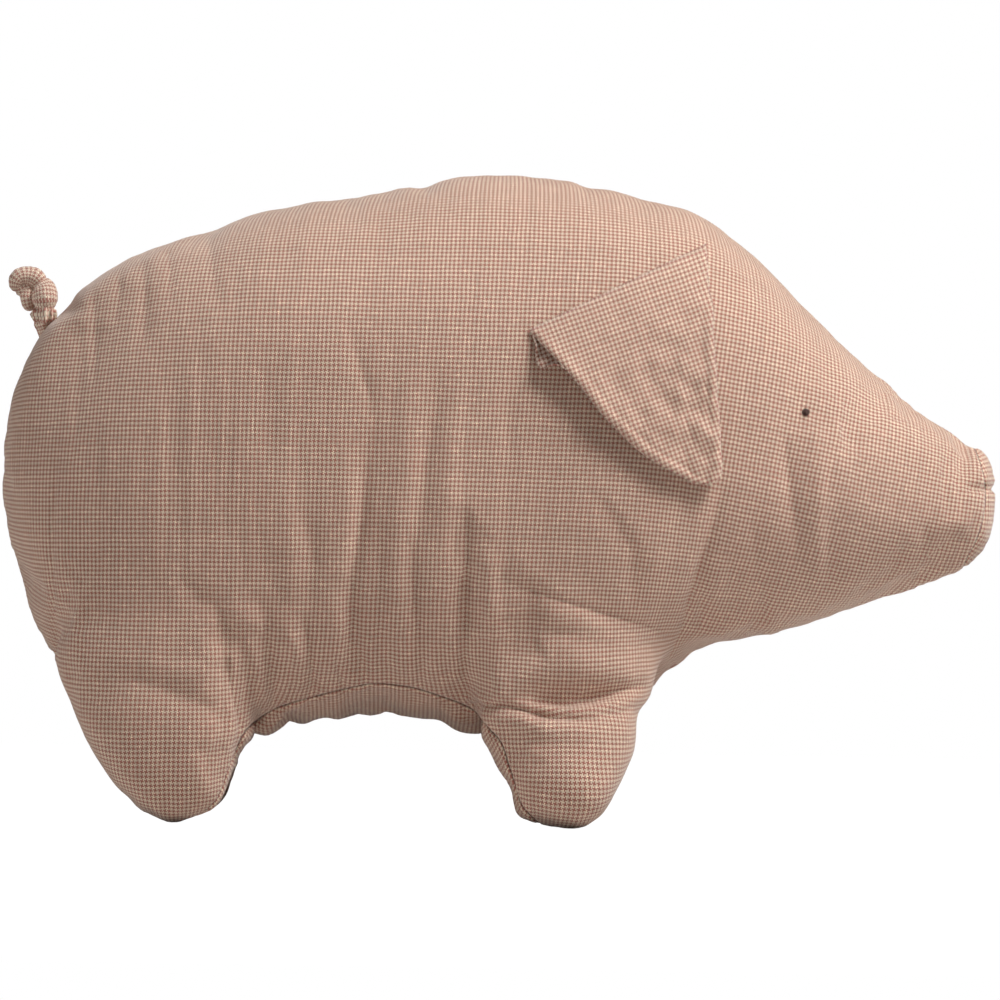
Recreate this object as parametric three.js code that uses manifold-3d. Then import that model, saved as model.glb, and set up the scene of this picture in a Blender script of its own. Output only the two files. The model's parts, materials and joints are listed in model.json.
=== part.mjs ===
// A stuffed cloth pig, 496 mm long: two side panels, a belly gusset with the inner legs, a snout
// disc, lined ears, a knotted tail and the filling inside, each as a solid of its own.
// Millimetres. +X runs to the snout, +Z up, -Y is the pig's right side, and the soles stand on z = 0.

import * as THREE from 'three';
import { mergeVertices } from 'three/addons/utils/BufferGeometryUtils.js';
import Module from 'manifold-3d';

// Driving dimensions

const overallHeight = 326;      // soles to the top of the shoulders
const rumpReach = 248.3;        // origin to the back of the rump
const snoutReach = 248.2;       // origin to the front of the snout
const torsoLength = 370.6;
const torsoThickness = 170;
const headLength = 246.4;       // from its buried back end to the snout
const headThickness = 153;      // at the cheeks, where it leaves the torso
const snoutDiscDepth = 10.7;    // from the seam of the disc to the front of the snout

const cloth = 0.9;              // one layer of woven cotton
const seamGap = 0.3;            // between two pieces that are sewn or pressed together

const gussetLength = 310;
const gussetWidth = 108;
const gussetCentreX = -67.5;

const legHeight = 130;          // sole to the buried top of a leg
const frontFootX = 34;
const hindFootX = -158.5;
const frontLegLength = 100;
const hindLegLength = 104;
const legThickness = 64;
const legSpread = 94;           // between the middles of a left and a right foot
const legInward = 10;           // a leg leans this far in over its height
const hindLegLean = 14;         // and the hind one this far back
const soleCut = 0.5;            // the round sole is pressed flat by this much

const earBaseLength = 99.5;
const earFrontEdge = 118.5;     // from the front of the base down to the tip
const earBaseFront = { x: 103.3, z: 290.5 };
const earBaseSlope = THREE.MathUtils.degToRad(26.5);
const earFrontSlope = THREE.MathUtils.degToRad(0.5);
const earClearance = 0.5;       // the base to the side panel
const earStandOff = 7;          // the free edge to the side panel

const eyeX = 153.1;
const eyeZ = 210.3;
const eyeKnotWidth = 4;
const eyeKnotHeight = 2;

const tailTubeWidth = 6.6;      // the tied tube, pulled tight
const tailSeatWidth = 9;        // its gathered end at the rump seam
const tailKnotSize = 3.6;       // scale of the knot's curve
const tailKnotUp = 23;          // from the seat to the middle of the knot
const tailKnotAhead = 1.5;
const tailEndLength = 8;        // loose end past the knot

// Shares of the sizes above, one for every 15 degrees from a form's back or lower pole

const torsoHighShares = [
  0.538, 0.670, 0.772, 0.852, 0.901, 0.944, 0.970, 1, 0.995, 0.970, 0.903, 0.756, 0.587];
const torsoLowShares = [
  0.538, 0.403, 0.268, 0.191, 0.164, 0.153, 0.169, 0.157, 0.164, 0.194, 0.274, 0.409, 0.587];
const torsoWideShares = [0, 0.39, 0.66, 0.85, 0.95, 1, 1, 1, 0.99, 0.94, 0.82, 0.49, 0];
const headHighShares = [
  0.664, 0.786, 0.880, 0.949, 0.964, 0.948, 0.881, 0.788, 0.705, 0.645, 0.602, 0.584, 0.507];
const headLowShares = [
  0.664, 0.541, 0.427, 0.348, 0.286, 0.264, 0.296, 0.322, 0.355, 0.381, 0.406, 0.440, 0.507];
const headWideShares = [0, 0.46, 0.76, 0.915, 1, 0.955, 0.863, 0.758, 0.64, 0.51, 0.39, 0.30, 0];
const legLongShares = [0, 0.24, 0.42, 0.54, 0.67, 0.79, 0.91, 1, 0.92, 0.76, 0.5, 0.28, 0];
const legThickShares = [0, 0.28, 0.52, 0.69, 0.81, 0.905, 0.985, 1, 0.905, 0.75, 0.53, 0.28, 0];

const fullness = 2.3;           // exponent of the oval sections, 2 for an ellipse
const gussetFullness = 4;       // exponent of the gusset's pointed oval
const ringStep = THREE.MathUtils.degToRad(12);
const tailSeatAngle = 2 * ringStep;
const legRingStep = THREE.MathUtils.degToRad(15);
const torsoSides = 28;
const headSides = 24;
const legSides = 16;
const overrun = 20;             // how far a cutter runs past what it cuts

// Joining and cutting

const wasm = await Module();
wasm.setup();

function toSolid(geometry) {
  const bare = geometry.clone();
  bare.deleteAttribute('normal');
  bare.deleteAttribute('uv');
  const merged = mergeVertices(bare);
  const index = merged.index.array;
  const triangles = [];
  for (let i = 0; i < index.length; i += 3) {
    const [a, b, c] = [index[i], index[i + 1], index[i + 2]];
    if (a !== b && b !== c && c !== a) triangles.push(a, b, c);
  }
  return new wasm.Manifold(new wasm.Mesh({
    numProp: 3,
    vertProperties: new Float32Array(merged.attributes.position.array),
    triVerts: new Uint32Array(triangles),
  }));
}

function toGeometry(solid) {
  const mesh = solid.getMesh();
  const geometry = new THREE.BufferGeometry();
  geometry.setAttribute('position', new THREE.BufferAttribute(mesh.vertProperties, 3));
  geometry.setIndex(new THREE.BufferAttribute(mesh.triVerts, 1));
  const flat = geometry.toNonIndexed();
  flat.computeVertexNormals();
  return flat;
}

// A box between two corners, to keep or cut away one side of a solid
function block(low, high) {
  const size = new THREE.Vector3().subVectors(high, low);
  const middle = new THREE.Vector3().addVectors(low, high).multiplyScalar(0.5);
  const geometry = new THREE.BoxGeometry(size.x, size.y, size.z);
  return toSolid(geometry.translate(middle.x, middle.y, middle.z));
}

// A closed skin over rings of points, drawn to one point at each end
function skinOver(rings, startPoint, endPoint) {
  const sides = rings[0].length;
  const positions = [startPoint, ...rings.flat(), endPoint].flatMap((p) => [p.x, p.y, p.z]);
  const last = rings.length * sides + 1;
  const index = [];
  for (let k = 0; k < sides; k++) {
    const next = (k + 1) % sides;
    index.push(0, 1 + k, 1 + next);
    for (let r = 0; r + 1 < rings.length; r++) {
      const a = 1 + r * sides;
      const b = a + sides;
      index.push(a + k, b + k, b + next, a + k, b + next, a + next);
    }
    index.push(last - sides + k, last, last - sides + next);
  }
  const geometry = new THREE.BufferGeometry();
  geometry.setAttribute('position', new THREE.Float32BufferAttribute(positions, 3));
  geometry.setIndex(index);
  return toSolid(geometry);
}

// The swelling forms

// A smooth value between shares that stand at even angles, straight through its two poles
function shareAt(shares, angle) {
  const place = (angle / Math.PI) * (shares.length - 1);
  const i = Math.min(Math.floor(place), shares.length - 2);
  const at = (k) => {
    if (k < 0) return 2 * shares[0] - shares[1];
    if (k >= shares.length) return 2 * shares[shares.length - 1] - shares[shares.length - 2];
    return shares[k];
  };
  const [a, b, c, d] = [at(i - 1), at(i), at(i + 1), at(i + 2)];
  const t = place - i;
  return b + 0.5 * t * (c - a + t * (2 * a - 5 * b + 4 * c - d + t * (3 * (b - c) + d - a)));
}

const signedPower = (value, power) => Math.sign(value) * Math.abs(value) ** power;

// Torso and head lie along X, and swell by their shares of height and thickness
const torso = {
  back: -rumpReach, length: torsoLength, thickness: torsoThickness, sides: torsoSides,
  high: torsoHighShares, low: torsoLowShares, wide: torsoWideShares,
};
const head = {
  back: snoutReach - headLength, length: headLength, thickness: headThickness, sides: headSides,
  high: headHighShares, low: headLowShares, wide: headWideShares,
};

const lyingX = (form, angle) => form.back + form.length * (1 - Math.cos(angle)) / 2;

function lyingSection(form, angle) {
  return {
    high: overallHeight * shareAt(form.high, angle),
    low: overallHeight * shareAt(form.low, angle),
    half: form.thickness / 2 * shareAt(form.wide, angle),
  };
}

// The form grown by an offset on every side, or shrunk where the offset is negative
function lyingForm(form, offset) {
  const rings = [];
  const stretch = (form.length + 2 * offset) / form.length;
  const middleX = form.back + form.length / 2;
  const place = (angle) => middleX + (lyingX(form, angle) - middleX) * stretch;
  for (let angle = ringStep; angle < Math.PI - ringStep / 2; angle += ringStep) {
    const { high, low, half } = lyingSection(form, angle);
    const middleZ = (high + low) / 2;
    const rise = (high - low) / 2 + offset;
    const ring = [];
    for (let k = 0; k < form.sides; k++) {
      const turn = -2 * Math.PI * k / form.sides;
      const y = (half + offset) * signedPower(Math.cos(turn), 2 / fullness);
      const z = middleZ + rise * signedPower(Math.sin(turn), 2 / fullness);
      ring.push(new THREE.Vector3(place(angle), y, z));
    }
    rings.push(ring);
  }
  const pole = (angle) => new THREE.Vector3(place(angle), 0, lyingSection(form, angle).high);
  return skinOver(rings, pole(0), pole(Math.PI));
}

// Half the width of a lying form at a point of the side view, or nothing outside its outline
function halfWidthOf(form, x, z) {
  const along = 1 - 2 * (x - form.back) / form.length;
  if (Math.abs(along) >= 1) return 0;
  const { high, low, half } = lyingSection(form, Math.acos(along));
  const fromMiddle = Math.abs(z - (high + low) / 2) / ((high - low) / 2);
  return fromMiddle >= 1 ? 0 : half * (1 - fromMiddle ** fullness) ** (1 / fullness);
}

const halfWidthAt = (x, z) => Math.max(halfWidthOf(torso, x, z), halfWidthOf(head, x, z));

// A point on the side of the pig and the way its surface faces there; side is 1 left, -1 right
function sidePoint(x, z, side) {
  const nudge = cloth;
  const slopeX = (halfWidthAt(x + nudge, z) - halfWidthAt(x - nudge, z)) / (2 * nudge);
  const slopeZ = (halfWidthAt(x, z + nudge) - halfWidthAt(x, z - nudge)) / (2 * nudge);
  return {
    point: new THREE.Vector3(x, side * halfWidthAt(x, z), z),
    normal: new THREE.Vector3(-slopeX, side, -slopeZ).normalize(),
  };
}

// A leg stands along Z
function legForm(leg, side, offset) {
  const rings = [];
  const middleZ = legHeight / 2 - soleCut;
  const stretch = (legHeight + 2 * offset) / legHeight;
  const centre = (angle) => {
    const up = (1 - Math.cos(angle)) / 2;
    return new THREE.Vector3(
      leg.x - leg.lean * up,
      side * (legSpread / 2 - legInward * up),
      middleZ + (up * legHeight - legHeight / 2) * stretch);
  };
  const angles = [legRingStep / 2];
  for (let angle = legRingStep; angle < Math.PI - legRingStep / 2; angle += legRingStep) {
    angles.push(angle);
  }
  for (const angle of angles) {
    const long = leg.length / 2 * shareAt(legLongShares, angle) + offset;
    const thick = legThickness / 2 * shareAt(legThickShares, angle) + offset;
    const ring = [];
    for (let k = 0; k < legSides; k++) {
      const turn = 2 * Math.PI * k / legSides;
      const reach = new THREE.Vector3(
        long * signedPower(Math.cos(turn), 2 / fullness),
        thick * signedPower(Math.sin(turn), 2 / fullness),
        0);
      ring.push(centre(angle).add(reach));
    }
    rings.push(ring.reverse());
  }
  return skinOver(rings, centre(0), centre(Math.PI));
}

const legs = [];
for (const [sideName, side] of [['right', -1], ['left', 1]]) {
  legs.push({ name: `front_${sideName}_leg`, side, x: frontFootX, length: frontLegLength, lean: 0 });
  legs.push({
    name: `hind_${sideName}_leg`, side, x: hindFootX, length: hindLegLength, lean: hindLegLean });
}

// The gusset's plan, a pointed oval, as a tall prism that cuts it out of the skin

function gussetPrism(offset, top) {
  const halfLength = gussetLength / 2 + offset;
  const steps = 24;
  const outline = new THREE.Shape();
  for (let k = 0; k < 2 * steps; k++) {
    const along = -Math.cos(Math.PI * k / steps);
    const edge = (gussetWidth / 2) * (1 - Math.abs(along) ** gussetFullness) + offset;
    const x = gussetCentreX + halfLength * along;
    const y = Math.abs(along) === 1 ? 0 : edge * (k < steps ? -1 : 1);
    if (k === 0) outline.moveTo(x, y);
    else outline.lineTo(x, y);
  }
  const geometry = new THREE.ExtrudeGeometry(outline, { depth: top + overrun, bevelEnabled: false });
  return toSolid(geometry.translate(0, 0, -overrun));
}

// Cloth and filling, cut out of the same forms at their offsets

const fill = -cloth - seamGap;
const far = rumpReach + snoutReach + overallHeight;
const corner = (x, y, z) => new THREE.Vector3(x, y, z);
const above = (z) => block(corner(-far, -far, z), corner(far, far, far));

const torsoOutside = lyingForm(torso, 0);
const headOutside = lyingForm(head, 0);
const torsoInside = lyingForm(torso, -cloth);
const bodyOutside = torsoOutside.add(headOutside);
const legInsides = legs.map((leg) => legForm(leg, leg.side, -cloth).intersect(above(cloth)));
let hollow = torsoInside.add(lyingForm(head, -cloth));
for (const inside of legInsides) hollow = hollow.add(inside);

const bodySkin = bodyOutside.subtract(hollow);
const gussetTop = overallHeight * torsoHighShares[0];
const gussetInside = gussetPrism(-seamGap / 2, gussetTop);
const gussetOutside = gussetPrism(seamGap / 2, gussetTop);
const snoutSeamX = snoutReach - snoutDiscDepth;
const beforeSnout = block(corner(-far, -far, -far), corner(snoutSeamX - seamGap / 2, far, far));
const snoutEnd = block(corner(snoutSeamX + seamGap / 2, -far, -far), corner(far, far, far));

const solids = {};
solids.belly_gusset = bodySkin.intersect(gussetInside);
solids.snout_disc = bodySkin.intersect(snoutEnd);
const panels = bodySkin.subtract(gussetOutside).intersect(beforeSnout);
solids.right_side_panel = panels.intersect(
  block(corner(-far, -far, -far), corner(far, -seamGap / 2, far)));
solids.left_side_panel = panels.intersect(
  block(corner(-far, seamGap / 2, -far), corner(far, far, far)));

const torsoKeepOut = lyingForm(torso, seamGap);
const headKeepOut = lyingForm(head, seamGap);
for (const leg of legs) {
  const tube = legForm(leg, leg.side, 0).intersect(above(0)).subtract(hollow)
    .subtract(torsoKeepOut).subtract(headKeepOut);
  solids[`${leg.name}_outer`] = tube.subtract(gussetOutside);
  solids[`${leg.name}_inner`] = tube.intersect(gussetInside);
  solids[`${leg.name}_stuffing`] = legForm(leg, leg.side, fill)
    .intersect(above(cloth + seamGap)).subtract(torsoInside);
}
solids.torso_stuffing = lyingForm(torso, fill);
solids.head_stuffing = lyingForm(head, fill).subtract(torsoInside);

// Ears: two layers of cloth that hang from a straight base along the side of the head

const slopeStep = (angle, length) => new THREE.Vector2(Math.cos(angle), Math.sin(angle))
  .multiplyScalar(length);
const earA = new THREE.Vector2(earBaseFront.x, earBaseFront.z);
const earB = earA.clone().sub(slopeStep(earBaseSlope, earBaseLength));
const earC = earA.clone().add(slopeStep(earFrontSlope - Math.PI / 2, earFrontEdge));
const earDown = earC.clone().sub(earA);
const earAcross = earB.clone().sub(earA);

// The two free edges bow out and meet in a rounded tip: shares of the way down and across
const frontEdgeShares = [[0.25, -0.025], [-0.04, -0.076]];
const rearEdgeShares = [[0.29, -0.26], [-0.096, 0.246]];
const earEdge = (start, [first, second]) => new THREE.CubicBezierCurve(
  start,
  start.clone().addScaledVector(earDown, first[0]).addScaledVector(earAcross, first[1]),
  earC.clone().addScaledVector(earDown, second[0]).addScaledVector(earAcross, second[1]),
  earC);
const earFrontCurve = earEdge(earA, frontEdgeShares);
const earRearCurve = earEdge(earB, rearEdgeShares);

// across runs 0 to 1 from the front edge to the rear, down from the base to the tip
function earPoint(side, across, down, height) {
  const place = earFrontCurve.getPoint(down).lerp(earRearCurve.getPoint(down), across);
  const { point, normal } = sidePoint(place.x, place.y, side);
  const looseness = Math.sin(down * Math.PI / 2) * (1 + across * (1 - down)) / 2;
  const lift = earClearance + earStandOff * looseness;
  return point.addScaledVector(normal, lift + height);
}

function earLayer(side, bottom, top) {
  const rows = 9;
  const columns = 8;
  const positions = [];
  for (const height of [bottom, top]) {
    for (let r = 0; r <= rows; r++) {
      for (let c = 0; c <= columns; c++) {
        positions.push(...earPoint(side, c / columns, r / rows, height).toArray());
      }
    }
  }
  const layer = (rows + 1) * (columns + 1);
  const at = (r, c, level) => level * layer + r * (columns + 1) + c;
  const index = [];
  const quad = (a, b, c, d) => index.push(a, b, c, a, c, d);
  for (let r = 0; r < rows; r++) {
    for (let c = 0; c < columns; c++) {
      quad(at(r, c, 0), at(r, c + 1, 0), at(r + 1, c + 1, 0), at(r + 1, c, 0));
      quad(at(r, c, 1), at(r + 1, c, 1), at(r + 1, c + 1, 1), at(r, c + 1, 1));
    }
    quad(at(r, 0, 0), at(r + 1, 0, 0), at(r + 1, 0, 1), at(r, 0, 1));
    quad(at(r, columns, 0), at(r, columns, 1), at(r + 1, columns, 1), at(r + 1, columns, 0));
  }
  for (let c = 0; c < columns; c++) {
    quad(at(0, c, 0), at(0, c, 1), at(0, c + 1, 1), at(0, c + 1, 0));
    quad(at(rows, c, 0), at(rows, c + 1, 0), at(rows, c + 1, 1), at(rows, c, 1));
  }
  if (side < 0) index.reverse();
  const geometry = new THREE.BufferGeometry();
  geometry.setAttribute('position', new THREE.Float32BufferAttribute(positions, 3));
  geometry.setIndex(index);
  return toSolid(geometry);
}

for (const [sideName, side] of [['right', -1], ['left', 1]]) {
  solids[`${sideName}_ear_lining`] = earLayer(side, 0, cloth);
  solids[`${sideName}_ear_outer`] = earLayer(side, cloth + seamGap, 2 * cloth + seamGap);
}

// The line that an ear turns about is straight, and just clears the swell of the head
function earHinge(side) {
  const height = 2 * cloth + seamGap;
  const front = earPoint(side, 0, 0, height);
  const along = earPoint(side, 1, 0, height).sub(front).normalize();
  const middle = earFrontCurve.getPoint(0).lerp(earRearCurve.getPoint(0), 0.5);
  const out = sidePoint(middle.x, middle.y, side).normal.projectOnPlane(along).normalize();
  let swell = 0;
  for (let k = 0; k <= 8; k++) {
    swell = Math.max(swell, earPoint(side, k / 8, 0, height).sub(front).dot(out));
  }
  return { point: front.addScaledVector(out, swell), along };
}

// Eyes: a knot of dark thread on each side, with a dimple where the needle went back

function eyeKnot(side) {
  const half = eyeKnotWidth / 2;
  const profile = new THREE.CatmullRomCurve3([
    new THREE.Vector3(0, 0, 0), new THREE.Vector3(0.8 * half, 0.06 * eyeKnotHeight, 0),
    new THREE.Vector3(half, 0.45 * eyeKnotHeight, 0),
    new THREE.Vector3(0.6 * half, eyeKnotHeight, 0), new THREE.Vector3(0, 0.7 * eyeKnotHeight, 0)]);
  const points = profile.getPoints(10).map((p) => new THREE.Vector2(p.x, p.y));
  points[0].x = 0;
  points[points.length - 1].x = 0;
  const { point, normal } = sidePoint(eyeX, eyeZ, side);
  const seat = point.addScaledVector(normal, seamGap);
  const geometry = new THREE.LatheGeometry(points, 14);
  geometry.applyQuaternion(
    new THREE.Quaternion().setFromUnitVectors(new THREE.Vector3(0, 1, 0), normal));
  return toSolid(geometry.translate(seat.x, seat.y, seat.z));
}
solids.right_eye_knot = eyeKnot(-1);
solids.left_eye_knot = eyeKnot(1);

// Tail: one tube of cloth tied in an overhand knot, its gathered end round like a ball

// The middle of that ball, and the way that the rump seam runs under it
function tailSeat() {
  const step = THREE.MathUtils.degToRad(1);
  const outline = (angle) => new THREE.Vector3(
    lyingX(torso, angle), 0, lyingSection(torso, angle).high);
  const tangent = outline(tailSeatAngle + step).sub(outline(tailSeatAngle - step)).normalize();
  const normal = new THREE.Vector3(-tangent.z, 0, tangent.x);
  const point = outline(tailSeatAngle)
    .addScaledVector(normal, tailSeatWidth / 2 + seamGap);
  return { point, tangent };
}

const knotLobeShare = 2.4;      // the knot's curve: how far its three lobes reach out
const knotDepthShare = 1.8;     // and how far its crossings lie apart
const knotTurn = THREE.MathUtils.degToRad(-15);
const knotSideways = THREE.MathUtils.degToRad(60);
const knotOpen = THREE.MathUtils.degToRad(32);

function tailPath() {
  const { point: seat } = tailSeat();
  const middle = seat.clone().add(new THREE.Vector3(tailKnotAhead, 0, tailKnotUp));
  const knot = (t) => new THREE.Vector3(
    -(Math.sin(t) + knotLobeShare * Math.sin(2 * t)),
    -knotDepthShare * Math.sin(3 * t),
    Math.cos(t) - knotLobeShare * Math.cos(2 * t))
    .applyAxisAngle(new THREE.Vector3(0, 1, 0), -knotTurn)
    .applyAxisAngle(new THREE.Vector3(0, 0, 1), knotSideways)
    .multiplyScalar(tailKnotSize).add(middle);
  const neck = knot(Math.PI + knotOpen).sub(seat);
  const pole = seat.clone().addScaledVector(neck.clone().normalize(), -tailSeatWidth / 2);
  const points = [pole, seat, seat.clone().addScaledVector(neck, 0.5)];
  const steps = 22;
  for (let k = 0; k <= steps; k++) {
    points.push(knot(Math.PI + knotOpen + (2 * Math.PI - 2 * knotOpen) * k / steps));
  }
  const end = points[points.length - 1];
  const heading = end.clone().sub(points[points.length - 2]).normalize();
  points.push(end.clone().addScaledVector(heading, tailEndLength));
  return new THREE.CatmullRomCurve3(points);
}

function tailTube() {
  const path = tailPath();
  const length = path.getLength();
  const steps = 76;
  const sides = 8;
  const frames = path.computeFrenetFrames(steps, false);
  const rings = [];
  const radiusAt = (run) => {
    const seatRadius = tailSeatWidth / 2;
    const tubeRadius = tailTubeWidth / 2;
    if (run < seatRadius) return Math.sqrt(seatRadius ** 2 - (seatRadius - run) ** 2);
    const taper = Math.min((run - seatRadius) / tailSeatWidth, 1);
    const left = length - run;
    const close = left < tubeRadius ? Math.sqrt(1 - (1 - left / tubeRadius) ** 2) : 1;
    return (seatRadius + (tubeRadius - seatRadius) * taper) * close;
  };
  for (let i = 1; i < steps; i++) {
    const centre = path.getPointAt(i / steps);
    const ring = [];
    for (let k = 0; k < sides; k++) {
      const turn = 2 * Math.PI * k / sides;
      ring.push(centre.clone()
        .addScaledVector(frames.normals[i], radiusAt(length * i / steps) * Math.cos(turn))
        .addScaledVector(frames.binormals[i], radiusAt(length * i / steps) * Math.sin(turn)));
    }
    rings.push(ring.reverse());
  }
  return { solid: skinOver(rings, path.getPointAt(0), path.getPointAt(1)), path, length };
}

const tail = tailTube();
solids.tail_tube = tail.solid;

// The knot's least gap to itself, between points more than a bend of the tube apart
function knotGap() {
  const count = 400;
  const points = tail.path.getSpacedPoints(count);
  const bend = Math.ceil(1.6 * tailTubeWidth / tail.length * count);
  let least = Infinity;
  for (let i = 0; i <= count; i++) {
    for (let j = i + bend; j <= count; j++) {
      least = Math.min(least, points[i].distanceTo(points[j]));
    }
  }
  return least - tailTubeWidth;
}

// Materials

const wovenCheck = { color: '#b58f7f', roughness: 0.92, metalness: 0 };
const looks = {
  side_panel: wovenCheck,
  belly_gusset: { ...wovenCheck, color: '#a98474' },
  snout_disc: wovenCheck,
  leg_outer: wovenCheck,
  leg_inner: { ...wovenCheck, color: '#a98474' },
  ear_outer: { ...wovenCheck, color: '#b98d7c' },
  ear_lining: { ...wovenCheck, color: '#7d5a4e' },
  tail_tube: wovenCheck,
  stuffing: { color: '#f1eee8', roughness: 1, metalness: 0 },
  eye_knot: { color: '#3a2622', roughness: 0.8, metalness: 0 },
};

const pig = new THREE.Group();
for (const [name, solid] of Object.entries(solids)) {
  const look = Object.keys(looks).find((ending) => name.endsWith(ending));
  const mesh = new THREE.Mesh(toGeometry(solid), new THREE.MeshStandardMaterial(looks[look]));
  mesh.name = name;
  pig.add(mesh);
}

const written = (vector) => vector.toArray().map((value) => value.toFixed(4)).join(', ');
for (const [sideName, side] of [['right', -1], ['left', 1]]) {
  const { point, along } = earHinge(side);
  console.log(`${sideName} ear turns about ${written(point)} along ${written(along)}`);
}
console.log(`tail turns about ${written(tailSeat().point)} along ${written(tailSeat().tangent)}`);
console.log(`least gap in the knotted tail ${knotGap().toFixed(2)} mm`);

export default pig;
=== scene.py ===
# %% [markdown]
# # A stuffed cloth pig
#
# The real pig is sewn from one mini-check cotton: two side panels that run down into the outer
# legs, a gusset along the belly with the inner legs, a small disc at the snout, two lined ears
# and a thin tube tied in a knot for a tail. Fibre filling presses the cloth out, so its shape is
# what we model first, and the seams, creases and puckers are pressed into it afterwards.
# Everything is in metres: the snout points along +X, and the camera sees the right side (-Y).

import json
import math
from contextlib import contextmanager

import bpy
import numpy as np
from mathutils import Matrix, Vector, noise
from mathutils.bvhtree import BVHTree
from mathutils.kdtree import KDTree

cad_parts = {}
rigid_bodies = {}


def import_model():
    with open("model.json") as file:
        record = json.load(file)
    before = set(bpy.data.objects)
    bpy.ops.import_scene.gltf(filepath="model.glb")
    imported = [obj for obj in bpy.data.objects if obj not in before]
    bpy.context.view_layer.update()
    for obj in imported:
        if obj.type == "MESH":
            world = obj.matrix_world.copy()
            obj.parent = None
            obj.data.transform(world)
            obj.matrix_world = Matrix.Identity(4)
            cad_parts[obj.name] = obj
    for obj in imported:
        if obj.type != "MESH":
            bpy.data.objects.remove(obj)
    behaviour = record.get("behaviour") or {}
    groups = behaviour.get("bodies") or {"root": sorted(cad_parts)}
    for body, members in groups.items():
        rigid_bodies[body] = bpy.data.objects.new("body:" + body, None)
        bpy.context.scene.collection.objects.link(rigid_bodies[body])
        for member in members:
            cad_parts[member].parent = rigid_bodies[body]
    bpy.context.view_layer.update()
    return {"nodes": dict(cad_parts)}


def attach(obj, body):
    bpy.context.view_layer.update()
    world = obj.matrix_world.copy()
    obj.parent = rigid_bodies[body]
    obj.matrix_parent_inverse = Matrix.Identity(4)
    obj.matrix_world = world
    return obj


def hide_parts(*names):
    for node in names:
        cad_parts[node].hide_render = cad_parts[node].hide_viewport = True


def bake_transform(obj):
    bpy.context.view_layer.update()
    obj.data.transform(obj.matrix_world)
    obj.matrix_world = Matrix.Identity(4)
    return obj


for startup_object in list(bpy.data.objects):
    bpy.data.objects.remove(startup_object)
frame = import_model()
print("solids in the frame:", len(frame["nodes"]))

# %% [markdown]
# ## The picture and the camera
#
# The picture is taken square from the right side through a long lens, and it is turned by about
# one degree. A place that is easiest to read in the picture, such as the end of a crease, is
# given in its 1000 x 1000 picture points, and one function turns those into X and Z on the pig.

# %% Camera, and picture points as places
mm = 0.001
picture_tilt = math.radians(0.94)
picture_scale = 0.5 * mm            # one picture point on the plane through the pig's middle
camera_distance = 20.0
sensor_wide = 36
view_centre = Vector((0.8 * mm, 0, 163.8 * mm))


def place(px, py):
    """X and Z on the pig of a point of the picture; works on numbers and on arrays."""
    x, z = (px - 498) * picture_scale, (825 - py) * picture_scale
    c, s = math.cos(picture_tilt), math.sin(picture_tilt)
    return x * c - z * s + 2.5 * mm, x * s + z * c + 1.3 * mm


bpy.ops.object.camera_add(location=view_centre + Vector((0, -camera_distance, 0)))
camera = bpy.context.object
camera.rotation_euler = (math.radians(90), -picture_tilt, 0)
camera.data.sensor_width = sensor_wide
camera.data.lens = sensor_wide * camera_distance / (1000 * picture_scale)
camera.data.clip_end = 4 * camera_distance
bpy.context.scene.camera = camera
print("lens", round(camera.data.lens), "mm")

# %% [markdown]
# ## The stuffed form
#
# Torso, head and legs are each a swelling oval form. Their outlines are given as shares of the
# overall size at even angles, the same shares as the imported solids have, so that the cloth sits
# where the solids are. Each form starts as a sphere from Blender's own menu, and every ring of
# it is moved out to its section.

# %% Sizes and outlines
overall_height = 326 * mm
torso_long, torso_thick, torso_back = 370.6 * mm, 170 * mm, -248.3 * mm
head_long, head_thick, head_back = 246.4 * mm, 153 * mm, 1.8 * mm
leg_tall, leg_thick, leg_spread, leg_inward = 130 * mm, 64 * mm, 94 * mm, 10 * mm
fullness = 2.3

torso_high = [0.538, 0.670, 0.772, 0.852, 0.901, 0.944, 0.970, 1, 0.995, 0.970, 0.903, 0.756, 0.587]
torso_low = [0.538, 0.403, 0.268, 0.191, 0.164, 0.153, 0.169, 0.157, 0.164, 0.194, 0.274, 0.409,
             0.587]
torso_wide = [0, 0.39, 0.66, 0.85, 0.95, 1, 1, 1, 0.99, 0.94, 0.82, 0.49, 0]
head_high = [0.664, 0.786, 0.880, 0.949, 0.964, 0.948, 0.881, 0.788, 0.705, 0.645, 0.602, 0.584,
             0.507]
head_low = [0.664, 0.541, 0.427, 0.348, 0.286, 0.264, 0.296, 0.322, 0.355, 0.381, 0.406, 0.440,
            0.507]
head_wide = [0, 0.46, 0.76, 0.915, 1, 0.955, 0.863, 0.758, 0.64, 0.51, 0.39, 0.30, 0]
leg_long_shares = [0, 0.24, 0.42, 0.54, 0.67, 0.79, 0.91, 1, 0.92, 0.76, 0.5, 0.28, 0]
leg_thick_shares = [0, 0.28, 0.52, 0.69, 0.81, 0.905, 0.985, 1, 0.905, 0.75, 0.53, 0.28, 0]
legs = [("front", 34 * mm, 100 * mm, 0), ("hind", -158.5 * mm, 104 * mm, 14 * mm)]


def smooth_between(knots, at):
    """Values of a smooth curve through the knots, at 0 for the first knot, 1 for the next ..."""
    known = np.array([2 * knots[0] - knots[1], *knots, 2 * knots[-1] - knots[-2]])
    i = np.minimum(at.astype(int), len(knots) - 2)
    t = (at - i).reshape(-1, *[1] * (known.ndim - 1))
    a, b, c, d = known[i], known[i + 1], known[i + 2], known[i + 3]
    return b + 0.5 * t * (c - a + t * (2 * a - 5 * b + 4 * c - d + t * (3 * (b - c) + d - a)))


def share_at(shares, angle):
    """A smooth value between shares that stand at even angles from pole to pole."""
    return smooth_between(shares, np.clip(angle / math.pi, 0, 1) * (len(shares) - 1))


def signed_power(value, power):
    return np.sign(value) * np.abs(value) ** power


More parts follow.
